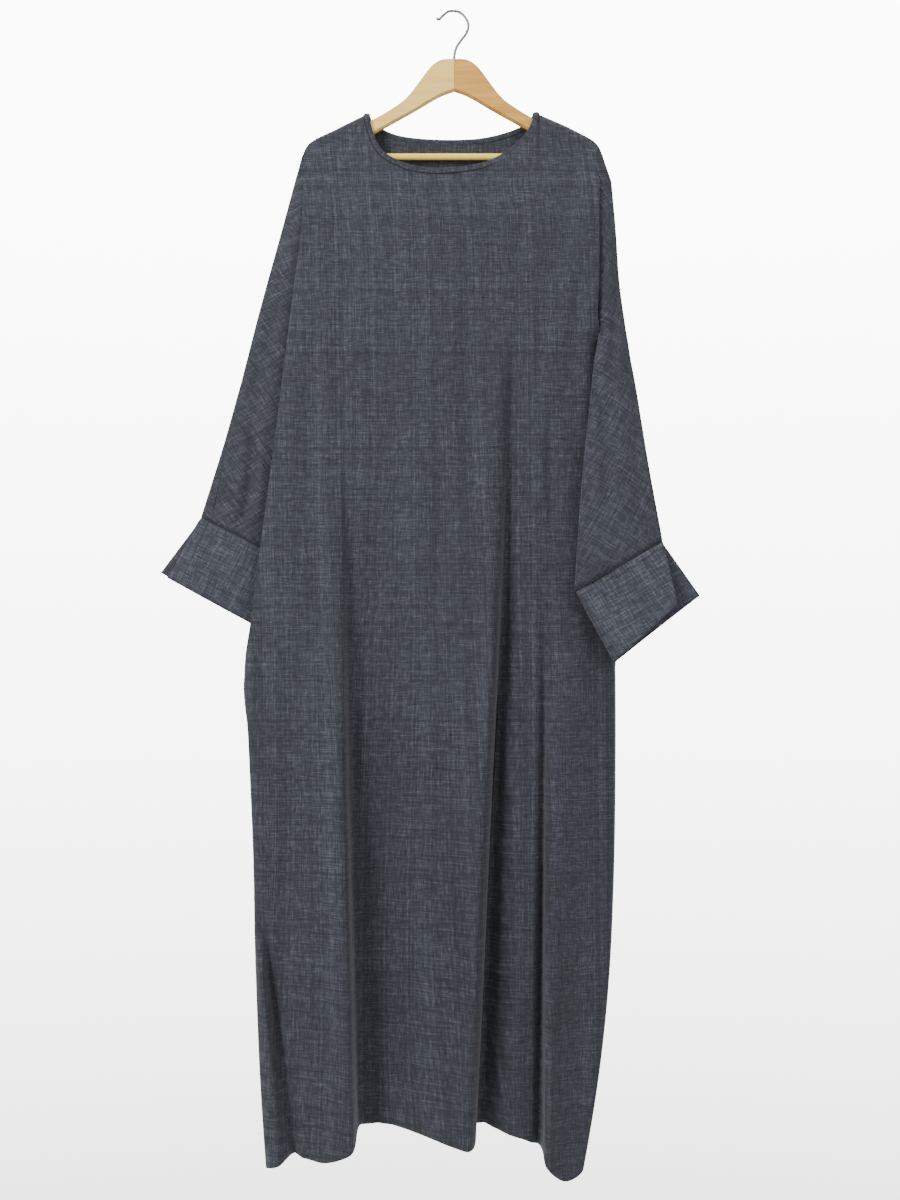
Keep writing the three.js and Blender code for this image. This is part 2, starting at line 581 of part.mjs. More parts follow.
function arm(side) {
  const flat = (rows) => rows.map(({ x, z }) => new THREE.Vector2(x, z));
  const first = MIDDLE_X + ARM_GAP / 2;
  const outline = [
    new THREE.Vector2(first, WOOD_TOP_Z),
    ...new THREE.SplineCurve(flat(ARM_TOP)).getSpacedPoints(16),
    ...flat(ARM_END),
    ...new THREE.SplineCurve(flat(ARM_UNDER)).getSpacedPoints(10).slice(0, -1),
    new THREE.Vector2(first, WOOD_UNDER_Z),
  ].map((p) => new THREE.Vector2(mix(MIDDLE_X, p.x, side), p.y));
  const geometry = new THREE.ExtrudeGeometry(new THREE.Shape(outline), {
    depth: WOOD_THICK - 2 * ARM_BEVEL, bevelEnabled: true, bevelThickness: ARM_BEVEL,
    bevelSize: ARM_BEVEL, bevelOffset: -ARM_BEVEL, bevelSegments: 2, steps: 1,
  });
  geometry.translate(0, 0, ARM_BEVEL - WOOD_THICK / 2);
  geometry.rotateX(Math.PI / 2);
  const holeEnd = BAR_HALF + FIT;
  const hole = new THREE.CylinderGeometry(
    BAR_RADIUS + FIT, BAR_RADIUS + FIT, holeEnd - BAR_HOLE_START, ROD_SIDES,
  );
  hole.rotateZ(Math.PI / 2);
  hole.translate(side * (holeEnd + BAR_HOLE_START) / 2, 0, BAR_Z);
  const shank = new THREE.CylinderGeometry(
    WIRE_RADIUS + FIT, WIRE_RADIUS + FIT, 2 * HOOK_DEPTH_IN_WOOD, SHANK_HOLE_SIDES,
  );
  shank.rotateX(Math.PI / 2);
  shank.translate(MIDDLE_X, 0, WOOD_TOP_Z);
  return asGeometry(asSolid(geometry).subtract(asSolid(hole)).subtract(asSolid(shank)));
}

function bar() {
  const geometry = new THREE.CylinderGeometry(BAR_RADIUS, BAR_RADIUS, 2 * BAR_HALF, ROD_SIDES);
  geometry.rotateZ(Math.PI / 2);
  geometry.translate(0, 0, BAR_Z);
  return geometry;
}

function hook() {
  const section = new THREE.Shape();
  section.absarc(0, 0, WIRE_RADIUS, 0, 2 * Math.PI, false);
  return new THREE.ExtrudeGeometry(section, {
    steps: HOOK_STEPS, curveSegments: 5, extrudePath: pathOf(HOOK_WIRE),
  });
}

// ---------- the part ----------
const cloth = () => new THREE.MeshStandardMaterial({ color: 0x474b53, roughness: 0.95, metalness: 0 });
const wood = () => new THREE.MeshStandardMaterial({ color: 0xd9b88a, roughness: 0.5, metalness: 0 });
const chrome = () => new THREE.MeshStandardMaterial({ color: 0xc8ccd0, roughness: 0.15, metalness: 1 });
const abaya = new THREE.Group();

function add(name, geometry, material) {
  const mesh = new THREE.Mesh(geometry, material);
  mesh.name = name;
  abaya.add(mesh);
}

add('front', panel(-1), cloth());
add('back', panel(1), cloth());
add('cuff_left', cuff(CUFFS.left, false), cloth());
add('cuff_right', cuff(CUFFS.right, true), cloth());
add('neck_binding', binding(), cloth());
add('hanger_arm_left', arm(-1), wood());
add('hanger_arm_right', arm(1), wood());
add('hanger_bar', bar(), wood());
add('hanger_hook', hook(), chrome());

export default abaya;
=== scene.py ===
"""A charcoal batwing abaya hanging from a wooden hanger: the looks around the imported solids.

Sizes are in millimetres, in the part's own frame, and become metres when a mesh is made.
"""
import math

import bpy
import numpy as np
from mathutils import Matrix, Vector


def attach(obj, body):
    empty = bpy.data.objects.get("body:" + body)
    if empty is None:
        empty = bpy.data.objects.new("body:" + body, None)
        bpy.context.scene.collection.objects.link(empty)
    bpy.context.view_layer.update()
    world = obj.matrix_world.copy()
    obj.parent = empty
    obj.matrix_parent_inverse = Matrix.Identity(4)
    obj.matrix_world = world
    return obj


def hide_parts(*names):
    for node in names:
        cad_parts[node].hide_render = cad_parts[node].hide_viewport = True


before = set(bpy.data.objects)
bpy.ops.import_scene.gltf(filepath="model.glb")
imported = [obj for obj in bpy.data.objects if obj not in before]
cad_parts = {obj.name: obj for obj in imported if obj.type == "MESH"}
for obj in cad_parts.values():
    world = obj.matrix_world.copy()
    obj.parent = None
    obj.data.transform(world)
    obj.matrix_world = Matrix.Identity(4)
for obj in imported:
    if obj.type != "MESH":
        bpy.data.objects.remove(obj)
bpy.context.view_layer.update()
MM = 0.001

# ---------- camera ----------
PHOTO_WIDTH, PHOTO_HEIGHT = 900, 1200
MM_PER_PIXEL = 1.47             # at the hanger
HOOK_SEAT_PIXEL = (453.5, 12)
CAMERA_DISTANCE = 2500
SENSOR_WIDTH = 36

# ---------- the cloth ----------
CLOTH, CUFF_CLOTH = 1.3, 2.2    # thickness of the shells
SEAM_Y = 0.9                    # half of the way between front and back at a seam
BINDING_WIDTH, BINDING_THICK = 8, 3.2
HEM_Z, BACK_HEM_Z = -1660, -1642
HEM_REACH = 260                 # height over which a section takes on the hem's own line
FIRST_Z = -250                  # the first section; above it the cloth runs up to the shoulders
SIDE_TOP_Z = -960               # from here down the sides of the body are seams
APEX_LEFT_Z, APEX_RIGHT_Z = -545, -470      # where a sleeve parts from the body
APEX_EASE, APEX_EASE_HEIGHT = 1.6, 45       # extra room between the faces near the right one
OVER_WOOD_Y, WOOD_EASE = 8.4, 2.2           # how the faces stay clear of the hanger's arms
BELOW_WOOD_SHARE = 0.6          # of the way down to the first section, where the wood ends
ROLL_SHARE, ROLL_POWER = 0.07, 0.6          # how the cloth rolls off a shoulder seam
SHOULDER_ROUND = 8              # columns in which front and back part, from a shoulder's end
SLEEVE_SHARE = 0.15             # of a shoulder seam's length, at its outer end
UNDER_BINDING = 1.6             # how far the panels reach under the neck binding
SLEEVE_PUFF = 8
PUFF_HEIGHT = 150               # height over which a sleeve fills out below the first section
OVER_FULL, UNDER_FULL = 0.8, 0.7            # share of the puff near a sleeve's two edges
GROWTH_REACH, GROWTH_POWER = 1.15, 0.8      # how a fold deepens towards the hem
BULGE_BEFORE_FIRST, DIP_AFTER_SECOND = 5, 6
BACK_EDGE_Y, BACK_EDGE_SHARE = 18, 0.3      # the back near its side edges
BACK_EDGE_INSET = {"left": 3, "right": 2}
NECK_END_OUT, NECK_END_DOWN = 0.9, 0.45     # where the binding faces at a neck point


def table(names, *rows):
    """A short table: a dict of columns from named columns and rows."""
    return dict(zip(names.split(), np.array(rows, float).T))


LEFT = table(
    "z over_x over_y seam_x seam_y edge_x edge_y",
    (-250, -232, 0, -214, -10, -219, -15),
    (-320, -251, 0, -207, -7, -221, -21),
    (-440, -284, 0, -204, -4, -236, -24),
    (-545, -311, 0, -204, -1, -249, -26),
)
LEFT_BODY = table(
    "z seam_x seam_y edge_x edge_y",
    (-545, -204, -1, -249, -26),
    (-650, -193, -1, -262, -27),
    (-813, -207, -1, -284, -26),
    (-900, -252, -1, -296, -22),
    (-960, -303, -4, -304, -19),
    (-1070, -300, -4, -298, -20),
    (-1230, -293, -4, -291, -22),
    (-1400, -289, -4, -287, -24),
    (-1530, -283, -4, -281, -26),
    (-1660, -274, -4, -271, -28),
)
RIGHT = table(
    "z over_x over_y seam_x seam_y edge_x edge_y",
    (-250, 231, -1, 206, -10, 213, -15),
    (-320, 237, -4, 201, -9, 212, -21),
    (-400, 242, -9, 205, -11, 211, -24),
    (-470, 251, -14, 213, -18, 206, -27),
)
RIGHT_BODY = table(
    "z seam_x seam_y edge_x edge_y",
    (-470, 213, -18, 206, -27),
    (-490, 209, -12, 200, -20),
    (-515, 213, -8, 201, -18),
    (-545, 218, -8, 204, -20),
    (-700, 226, -4, 212, -20),
    (-860, 232, -2, 222, -19),
    (-960, 237, -1, 231, -19),
    (-1160, 237, -1, 232, -20),
    (-1300, 234, -1, 229, -22),
    (-1430, 227, -1, 222, -26),
    (-1530, 214, -1, 210, -30),
    (-1660, 190, -1, 186, -34),
)
LEFT_SLEEVE = table(
    "along over_x over_z over_y seam_x seam_z seam_y puff",
    (0, -311, -545, 0, -204, -545, -1, 8),
    (0.5, -338, -640, 1, -214, -676, -1, 8),
    (1, -370, -742, 2, -229, -812, -1, 8),
)
RIGHT_SLEEVE = table(
    "along over_x over_z over_y seam_x seam_z seam_y puff",
    (0, 251, -470, -14, 213, -470, -18, 8),
    (0.06, 254, -489, -17, 211, -491, -28, 3),
    (0.13, 257, -511, -19, 206, -516, -35, 2),
    (0.25, 264, -550, -22, 201, -560, -38, 2),
    (0.6, 281, -665, -36, 186, -700, -51, 4),
    (1, 300, -779, -50, 175, -850, -62, 7),
)
# folds of the front: where each begins, its x there, half way and at the hem, and how far it
# stands out (lip) and in (root) at the hem. lean is the lip's side of the root, half its way there
FOLDS = {
    "first": dict(start=-600, x=(-156, -147, -134), lip=22, root=36, lean=-1, half=12),
    "soft": dict(start=-900, x=(-30, -46, -74), lip=0, root=22),
    "second": dict(start=-430, x=(92, 65, 37), lip=26, root=38, lean=-1, half=12),
    "third": dict(start=-760, x=(134, 129, 126), lip=16, root=16, lean=1, half=8),
    "outer": dict(start=-1150, x=(30, 20, 35), lip=0, root=16),
}
FRONT_DEPTH = table(
    "z y", (-250, -17), (-320, -24), (-500, -28), (-800, -32), (-1200, -38), (-1660, -42)
)
BACK_DEPTH = table(
    "z y", (-250, 16), (-320, 22), (-500, 26), (-800, 28), (-1200, 32), (-1660, 36)
)
BACK_FOLDS = table(
    "x_top x_hem out",
    (-170, -205, 10), (-105, -140, -12), (-40, -62, 12), (25, 18, -10), (90, 92, 13), (150, 140, -8),
)
FRONT_HEM = (-1690, -1690, -1684, -1672, -1677, -1657, -1632, -1634, -1652, -1630, -1640,
             -1660, -1680, -1706, -1694, -1668)
FRONT_STEPS = (3, 3, 2, 2, 3, 3, 3, 4, 3, 2, 2, 2, 2, 2, 3)
BACK_STEPS = (3,) * 9
SHOULDER_LEFT = table("x z", (-222, -214), (-212, -195), (-171, -173), (-133, -154))
SHOULDER_RIGHT = table("x z", (126, -152), (173, -173), (210, -195), (219, -214))
NECK_FRONT = table(
    "x z y", (-123, -150, 0), (-123, -156, -9), (-119, -175, -11), (-103, -207, -13),
    (-60, -229, -15), (0, -232, -16), (56, -220, -15), (98, -190, -13), (112, -170, -11),
    (117, -154, -9), (117, -148, 0),
)
NECK_BACK = table(
    "x z y", (-123, -150, 0), (-120, -157, 9), (-106, -168, 11), (-81, -178, 12),
    (-19, -184, 13), (48, -181, 12), (98, -166, 11), (113, -155, 9), (117, -148, 0),
)
SIDES = {
    "left": dict(
        upper=LEFT, body=LEFT_BODY, sleeve=LEFT_SLEEVE, shoulder=SHOULDER_LEFT, apex=APEX_LEFT_Z,
        hem=FRONT_HEM[0], inner=(-285, 1, -906), front_tip=(-419, -5, -832),
        back_tip=(-433, 12, -824), cuff_grain=-26.4, under_arm_radius=1.2,
        rolled_from=0.45, rolled_first=0.012, rolled_last=0.095,
    ),
    "right": dict(
        upper=RIGHT, body=RIGHT_BODY, sleeve=RIGHT_SLEEVE, shoulder=SHOULDER_RIGHT,
        apex=APEX_RIGHT_Z, hem=FRONT_HEM[-1], inner=(231, -62, -954), front_tip=(321, -66, -870),
        back_tip=(356, -46, -858), cuff_grain=29.6, under_arm_radius=1.8,
        rolled_from=0.42, rolled_first=0.03, rolled_last=0.032,
    ),
}
CUFF_PUFF, CUFF_GAP = 7, 1.9
SWELL_START = 0.16              # of a cuff's swell, at its open edge
TIP_APART = 0.9

# fineness of the meshes
FINE = 4                        # columns here for each column of the solids
SLEEVE_COLUMNS = 36
ROW_STEP = 9
SHOULDER_ROWS = 20
FREE_SLEEVE_ROWS = 40
SHOULDER_FRONT, SHOULDER_BACK = 38, 20      # body columns that end on a shoulder seam
CUFF_COLUMNS, CUFF_ROWS = 28, 20
NECK_FRONT_STEPS, NECK_BACK_STEPS = 112, 84
DENSE, SHOULDER_DENSE = 600, 400            # steps along a path that is then divided evenly
SEAM_STEPS, UNDER_ARM_STEPS, ROLLED_STEPS, SIDE_STEPS = 40, 60, 50, 80
BINDING_SECTION = 20


# ---------- curves ----------
def mix(a, b, t):
    return a + (b - a) * t


def ease(t):
    t = np.clip(t, 0, 1)
    return t * t * (3 - 2 * t)


def column(rows, key, at, name):
    """One column of a table at a key, eased between its rows."""
    keys, values = rows[key], rows[name]
    rising = 1 if keys[-1] > keys[0] else -1
    i = 0
    while i < len(keys) - 2 and (at - keys[i + 1]) * rising > 0:
        i += 1
    span = keys[i + 1] - keys[i]
    t = min(1, max(0, (at - keys[i]) / span))

    def slope(k):
        a, b = max(0, k - 1), min(len(keys) - 1, k + 1)
        return (values[b] - values[a]) / (keys[b] - keys[a])

    m0, m1 = slope(i) * span, slope(i + 1) * span
    return ((2 * t**3 - 3 * t**2 + 1) * values[i] + (t**3 - 2 * t**2 + t) * m0
            + (3 * t**2 - 2 * t**3) * values[i + 1] + (t**3 - t**2) * m1)


def curve_points(controls, params):
    """Points of the centripetal Catmull-Rom curve through the controls, at params 0 to 1."""
    controls = np.asarray(controls, float)
    first, last = 2 * controls[0] - controls[1], 2 * controls[-1] - controls[-2]
    padded = np.vstack([first, controls, last])
    place = np.asarray(params) * (len(controls) - 1)
    k = np.minimum(place.astype(int), len(controls) - 2)
    w = (place - k)[:, None]
    p0, p1, p2, p3 = (padded[k + n] for n in range(4))

    def reach(a, b):
        return np.maximum(((b - a) ** 2).sum(1), 1e-9)[:, None] ** 0.25

    d0, d1, d2 = reach(p0, p1), reach(p1, p2), reach(p2, p3)
    m1 = ((p1 - p0) / d0 - (p2 - p0) / (d0 + d1) + (p2 - p1) / d1) * d1
    m2 = ((p2 - p1) / d1 - (p3 - p1) / (d1 + d2) + (p3 - p2) / d2) * d1
    return ((2 * w**3 - 3 * w**2 + 1) * p1 + (w**3 - 2 * w**2 + w) * m1
            + (3 * w**2 - 2 * w**3) * p2 + (w**3 - w**2) * m2)


def along_curve(controls, steps):
    params = [(span + k / (n * FINE)) / len(steps)
              for span, n in enumerate(steps) for k in range(n * FINE)]
    return curve_points(controls, params + [1.0])


def units(vectors):
    return vectors / np.linalg.norm(vectors, axis=1)[:, None]


def lengths(path):
    """How far along a path each of its points is."""
    return np.concatenate([[0], np.cumsum(np.linalg.norm(np.diff(path, axis=0), axis=1))])


def at_lengths(at, length, path):
    return np.stack([np.interp(at, length, path[:, a]) for a in range(3)], -1)


def evenly(rows, count):
    """So many even steps along the smooth path of a table with x, z and perhaps y."""
    controls = np.stack([rows["x"], rows.get("y", np.zeros(len(rows["x"]))), rows["z"]], 1)
    dense = curve_points(controls, np.linspace(0, 1, DENSE))
    length = lengths(dense)
    return at_lengths(np.linspace(0, length[-1], count + 1), length, dense)


# ---------- sections of the body ----------
def grown(z, start):
    return float(ease((start - z) / (start - HEM_Z) * GROWTH_REACH)) ** GROWTH_POWER


def hem_wave(z):
    return ease((HEM_Z + HEM_REACH - z) / HEM_REACH)


def fold_x(name, z):
    fold = FOLDS[name]
    middle = (fold["start"] + HEM_Z) / 2
    return float(np.interp(z, (HEM_Z, middle, fold["start"]), fold["x"][::-1]))


def side_of(side, z):
    rows = SIDES[side]["upper" if z > SIDES[side]["apex"] else "body"]
    return {name: column(rows, "z", z, name) for name in ("seam_x", "seam_y", "edge_x", "edge_y")}


def apart(z):
    return 2 * SEAM_Y + APEX_EASE * math.exp(-(((z - APEX_RIGHT_Z) / APEX_EASE_HEIGHT) ** 2))


def front_section(z):
    left, right = side_of("left", z), side_of("right", z)
    depth = column(FRONT_DEPTH, "z", z, "y")

    def growth(name):
        return grown(z, FOLDS[name]["start"])

    def lip(name):
        fold = FOLDS[name]
        return (fold_x(name, z) + fold["lean"] * fold["half"], depth - fold["lip"] * growth(name))

    def root(name):
        return (fold_x(name, z), depth + FOLDS[name]["root"] * growth(name))

    outer_x = left["edge_x"] + fold_x("outer", z)
    first_x, second_x, third_x = (fold_x(n, z) for n in ("first", "second", "third"))
    flat = [
        (left["seam_x"], left["seam_y"]), (left["edge_x"], left["edge_y"]),
        (mix(left["edge_x"], outer_x, 0.5), mix(left["edge_y"], depth, 0.9)),
        (outer_x, depth + FOLDS["outer"]["root"] * growth("outer")),
        (mix(outer_x, first_x, 0.5), depth - BULGE_BEFORE_FIRST * growth("first")),
        lip("first"), root("first"), root("soft"), lip("second"), root("second"),
        (mix(second_x, third_x, 0.5), depth + DIP_AFTER_SECOND * growth("second")),
        root("third"), lip("third"),
        (mix(third_x, right["edge_x"], 0.6), mix(depth, right["edge_y"], 0.35)),
        (right["edge_x"], right["edge_y"]), (right["seam_x"], right["seam_y"]),
    ]
    wave = hem_wave(z)
    return along_curve([(x, y, z + (hem - HEM_Z) * wave) for (x, y), hem in zip(flat, FRONT_HEM)],
                       FRONT_STEPS)


def back_section(z):
    left, right = side_of("left", z), side_of("right", z)
    depth = column(BACK_DEPTH, "z", z, "y")
    down = min(1, max(0, (z - FIRST_Z) / (HEM_Z - FIRST_Z)))
    folds = [(mix(a, b, down), depth + out * ease(down))
             for a, b, out in zip(BACK_FOLDS["x_top"], BACK_FOLDS["x_hem"], BACK_FOLDS["out"])]
    edge_depth = mix(depth, BACK_EDGE_Y, BACK_EDGE_SHARE)
    flat = [
        (left["seam_x"], left["seam_y"] + 2 * SEAM_Y),
        (left["edge_x"] + BACK_EDGE_INSET["left"], edge_depth), *folds,
        (right["edge_x"] - BACK_EDGE_INSET["right"], edge_depth),
        (right["seam_x"], right["seam_y"] + apart(z)),
    ]
    wave = hem_wave(z)
    return along_curve([(x, y, z + (BACK_HEM_Z - HEM_Z) * wave) for x, y in flat], BACK_STEPS)


SECTIONS = {-1: front_section, 1: back_section}


# ---------- sleeves ----------
def sleeve_across(over, under, face, puff):
    seam = 0 if face < 0 else apart(under[2]) if under[0] > 0 else 2 * SEAM_Y
    out = np.array([0, face * puff, 0])
    middle = (over + under) / 2
    controls = [
        over + [0, face * SEAM_Y, 0], mix(over, middle, 0.5) + OVER_FULL * out, middle + out,
        mix(middle, under, 0.6) + UNDER_FULL * out, under + [0, seam, 0],
    ]
    return curve_points(controls, np.linspace(0, 1, SLEEVE_COLUMNS + 1))


def edge_at(rows, edge, z):
    """Where a table's over-arm edge or seam is at a height."""
    return np.array([column(rows, "z", z, f"{edge}_x"), column(rows, "z", z, f"{edge}_y"), z])


def attached_sleeve(side, z, face):
    """A sleeve's face across, where it still is one with the body."""
    rows = SIDES[side]["upper"]
    over, under = edge_at(rows, "over", z), edge_at(rows, "seam", z)
    puff = SLEEVE_PUFF * min(1, max(0, 0.5 + (FIRST_Z - z) / PUFF_HEIGHT))
    return sleeve_across(over, under, face, puff)


def sleeve_point(side, edge, along):
    return np.array([column(SIDES[side]["sleeve"], "along", along, f"{edge}_{a}") for a in "xyz"])


def free_sleeve(side, along, face):
    """A sleeve's face across, from where it parts from the body (0) to the cuff (1)."""
    puff = SLEEVE_PUFF if face < 0 else column(SIDES[side]["sleeve"], "along", along, "puff")
    over, under = sleeve_point(side, "over", along), sleeve_point(side, "seam", along)
    return sleeve_across(over, under, face, puff)


# ---------- the neck and shoulders ----------
def neck_places(face, steps=None):
    """Points round the neck opening on one face, and the way that each faces."""
    points = evenly(NECKS[face], steps or NECK_STEPS[face])
    forward = np.gradient(points, axis=0)
    forward[:, 1] = 0
    forward = units(forward)
    away = np.stack([forward[:, 2], 0 * forward[:, 0], -forward[:, 0]], 1)
    size = math.hypot(NECK_END_OUT, NECK_END_DOWN)
    away[0] = np.array([-NECK_END_OUT, 0, -NECK_END_DOWN]) / size
    away[-1] = np.array([NECK_END_OUT, 0, -NECK_END_DOWN]) / size
    return points, away


NECKS = {-1: NECK_FRONT, 1: NECK_BACK}
NECK_STEPS = {-1: NECK_FRONT_STEPS, 1: NECK_BACK_STEPS}


def shoulder_places(rows, steps):
    """Places from the outer end of a shoulder seam: the sleeve's columns gather there."""
    dense = evenly(rows, SHOULDER_DENSE)
    dense = dense if rows["z"][0] < rows["z"][-1] else dense[::-1]
    share = np.concatenate([np.linspace(0, SLEEVE_SHARE, SLEEVE_COLUMNS + 1),
                            np.linspace(SLEEVE_SHARE, 1, steps - SLEEVE_COLUMNS + 1)[1:]])
    return at_lengths(share * SHOULDER_DENSE, np.arange(SHOULDER_DENSE + 1), dense)


def top_edge(face, neck_steps, shoulder_steps):
    left = shoulder_places(SHOULDER_LEFT, shoulder_steps)
    right = shoulder_places(SHOULDER_RIGHT, shoulder_steps)[::-1]
    points, away = neck_places(face, neck_steps)
    middle = (points + away * (BINDING_WIDTH - UNDER_BINDING))[1:-1]
    edge = np.vstack([left, middle, right])
    edge[:, 1] = face * np.maximum(SEAM_Y, np.abs(edge[:, 1]))
    return edge


# ---------- meshes ----------
GRAIN = "grain"                 # the UV layer with the cloth's own threads, in metres


def new_mesh(name, points, faces):
    mesh = bpy.data.meshes.new(name)
    mesh.from_pydata([tuple(p * MM) for p in points], [], faces)
    return mesh


def in_scene(name, data):
    holder = bpy.data.objects.new(name, data)
    bpy.context.collection.objects.link(holder)
    return holder


def as_piece(mesh, material):
    mesh.materials.append(material)
    return in_scene(mesh.name, mesh)


class Sheet:
    """A mid surface of rows, which becomes a shell of cloth."""

    def __init__(self):
        self.points, self.grain, self.faces = [], [], []

    def row(self, points, grain):
        first = len(self.points)
        self.points.extend(points)
        self.grain.extend(grain)
        return list(range(first, first + len(points)))

    def strip(self, above, below, which=0):
        for i in range(len(above) - 1):
            self.faces.append((which, (above[i], below[i], below[i + 1], above[i + 1])))

    def build(self, name, thickness, material, flip):
        quads = [tuple(reversed(f)) if flip else f for _, f in self.faces]
        mesh = new_mesh(name, self.points, quads)
        layer = mesh.uv_layers.new(name=GRAIN)
        for polygon, (which, _) in zip(mesh.polygons, self.faces):
            polygon.use_smooth = True
            for loop, vertex in zip(polygon.loop_indices, polygon.vertices):
                layer.data[loop].uv = self.grain[vertex][which]
        piece = as_piece(mesh, material)
        solid = piece.modifiers.new("cloth", "SOLIDIFY")
        solid.thickness = thickness * MM
        solid.offset = 0
        return piece


BODY, SLEEVE_L, SLEEVE_R = 0, 1, 2          # whose grain a face takes
SLEEVE_GRAIN = 58               # degrees that the hanging sleeve's threads lean
TURN_TOP_Z, TURN_HEIGHT = -185, 210
SHOULDER_POINTS = {-1: (-214, -205), 1: (212, -205)}
DEPTH_IN_GRAIN = 0.8            # how much of a point's depth adds to its place across the grain


def turned(points, degrees):
    """Grain coordinates of points seen from the front, with the threads turned by an angle."""
    c, s = math.cos(math.radians(degrees)), math.sin(math.radians(degrees))
    x, z = points[:, 0] + DEPTH_IN_GRAIN * points[:, 1], points[:, 2]
    return np.stack([(c * x + s * z) * MM, (c * z - s * x) * MM], 1)


def sleeve_grain(points, side):
    """The grain of a sleeve, turning about its shoulder point as the sleeve drops."""
    px, pz = SHOULDER_POINTS[side]
    angle = np.radians(side * SLEEVE_GRAIN) * ease((TURN_TOP_Z - points[:, 2]) / TURN_HEIGHT)
    c, s = np.cos(angle), np.sin(angle)
    x, z = points[:, 0] + DEPTH_IN_GRAIN * points[:, 1] - px, points[:, 2] - pz
    return np.stack([(px + c * x + s * z) * MM, (pz + c * z - s * x) * MM], 1)


def grains(points):
    points = np.asarray(points)
    return list(zip(turned(points, 0), sleeve_grain(points, -1), sleeve_grain(points, 1)))


# creases laid on a face (-1 front, 1 back): from and to (x, z), half width and depth,
# which goes into the cloth, or out of it where it is below zero
CREASES = {
    -1: table(
        "x0 z0 x1 z1 half depth",
        (-196, -205, -150, -330, 16, 2.5),
        (-224, -300, -170, -520, 14, 2.0),
        (-168, -420, -156, -640, 9, 3.5),
        (-210, -560, -196, -900, 16, 3.0),
        (104, -300, 91, -470, 10, 3.0),
        (168, -230, 140, -420, 16, 2.5),
        (190, -330, 160, -640, 12, 3.0),
        (30, -380, 18, -760, 22, 2.5),
        (-80, -330, -92, -700, 24, 2.5),
        (-20, -640, -36, -960, 14, 3.5),
        (148, -560, 136, -800, 9, 4.0),
        (-230, -900, -222, -1240, 14, 4.0),
        (-104, -1180, -110, -1560, 16, 5.0),
        (4, -1250, -14, -1600, 14, 4.0),
        (90, -1200, 88, -1560, 14, 4.0),
        (186, -700, 178, -1500, 34, -7.0),
        (-152, -600, -143, -1200, 12, 4.5),
        (-146, -960, -130, -1950, 9, 11.0),
        (91, -440, 68, -1060, 11, 5.5),
        (71, -820, 26, -1950, 9, 11.0),
        (132, -760, 124, -1950, 7, 9.0),
        (-92, -1000, -100, -1950, 26, 6.0),
        (-34, -960, -64, -1400, 16, 5.0),
        (-62, -1340, -78, -1640, 16, 6.0),
        (-284, -1260, -206, -1900, 7, 11.0),
        (-120, -700, -112, -1600, 22, 3.0),
        (106, -900, 84, -1500, 15, 3.5),
        (-190, -1300, -182, -1640, 12, 4.0),
        (206, -900, 196, -1300, 9, 3.0),
    ),
    1: table(
        "x0 z0 x1 z1 half depth",
        (-180, -230, -150, -480, 16, 3.0),
        (170, -230, 150, -460, 16, 3.0),
        (-60, -260, -80, -760, 20, 3.5),
        (60, -300, 66, -800, 22, 3.5),
        (-205, -560, -215, -980, 14, 4.0),
        (190, -560, 200, -980, 14, 4.0),
        (-10, -700, -18, -1300, 15, 4.5),
        (120, -900, 120, -1500, 13, 5.0),
        (-110, -1000, -120, -1560, 13, 5.0),
        (-240, -1100, -238, -1620, 12, 5.0),
        (200, -1150, 190, -1600, 12, 5.0),
    ),
}

SLEEVE_CREASES = {
    -1: table(
        "x0 z0 x1 z1 half depth",
        (-262, -420, -296, -640, 12, 3.0),
        (-290, -590, -314, -800, 9, 5.0),
        (-322, -772, -268, -716, 6, -2.5),
        (-330, -690, -372, -800, 10, 3.0),
        (240, -375, 232, -560, 8, 4.0),
        (224, -560, 214, -760, 11, 4.0),
        (262, -600, 270, -780, 9, 3.5),
    ),
    1: table(
        "x0 z0 x1 z1 half depth",
        (-250, -400, -292, -640, 12, 4.0),
        (-300, -600, -336, -790, 10, 4.0),
        (232, -380, 244, -600, 11, 4.0),
        (240, -560, 250, -790, 11, 4.0),
    ),
}
CREASE_WANDER, WANDER_WAVES = 0.35, 5       # a crease's own sway, in half widths
CREASE_LIP, LIP_PLACE = 0.45, 1.7           # the low ridges along both its sides
CREASE_TAPER = 4                # it fades in and out over a quarter of its length
RIPPLE = 0.9                    # the cloth's slight unevenness everywhere
FREE_FROM_Y, FREE_OVER = 9, 6   # no crease where front and back lie nearly together
SLEEVE_FREE_POWER = 0.7


def creased(points, face):
    """The body's points, pushed into or out of the cloth along its creases."""
    free = ease((np.abs(points[:, 1]) - FREE_FROM_Y) / FREE_OVER)
    return pressed(points, face, CREASES[face], free)


def creased_sleeve(points, face):
    free = np.sin(np.linspace(0, np.pi, len(points))) ** SLEEVE_FREE_POWER
    return pressed(points, face, SLEEVE_CREASES[face], free)


def pressed(points, face, rows, free):
    points = np.array(points)
    x, z = points[:, 0], points[:, 2]
    push = RIPPLE * np.sin(x / 41 + z / 233) * np.sin(z / 97 + x / 150)
    for x0, z0, x1, z1, half, depth in zip(*rows.values()):
        length = math.hypot(x1 - x0, z1 - z0)
        dx, dz = (x1 - x0) / length, (z1 - z0) / length
        along = ((x - x0) * dx + (z - z0) * dz) / length
        wander = half * CREASE_WANDER * np.sin(along * WANDER_WAVES + x0)
        across = (x - x0) * dz - (z - z0) * dx + wander
        taper = ease(along * CREASE_TAPER) * ease((1 - along) * CREASE_TAPER)
        lips = np.exp(-(((np.abs(across) - LIP_PLACE * half) / half) ** 2))
        push += depth * taper * (np.exp(-((across / half) ** 2)) - CREASE_LIP * lips)
    points[:, 1] -= face * push * free
    return points


FIRST_SHARES = (0, 0.02, 0.045)             # the first rows, close to a shoulder seam
CUFF_FADE = 6                   # a sleeve's creases fade over the last sixth of its length


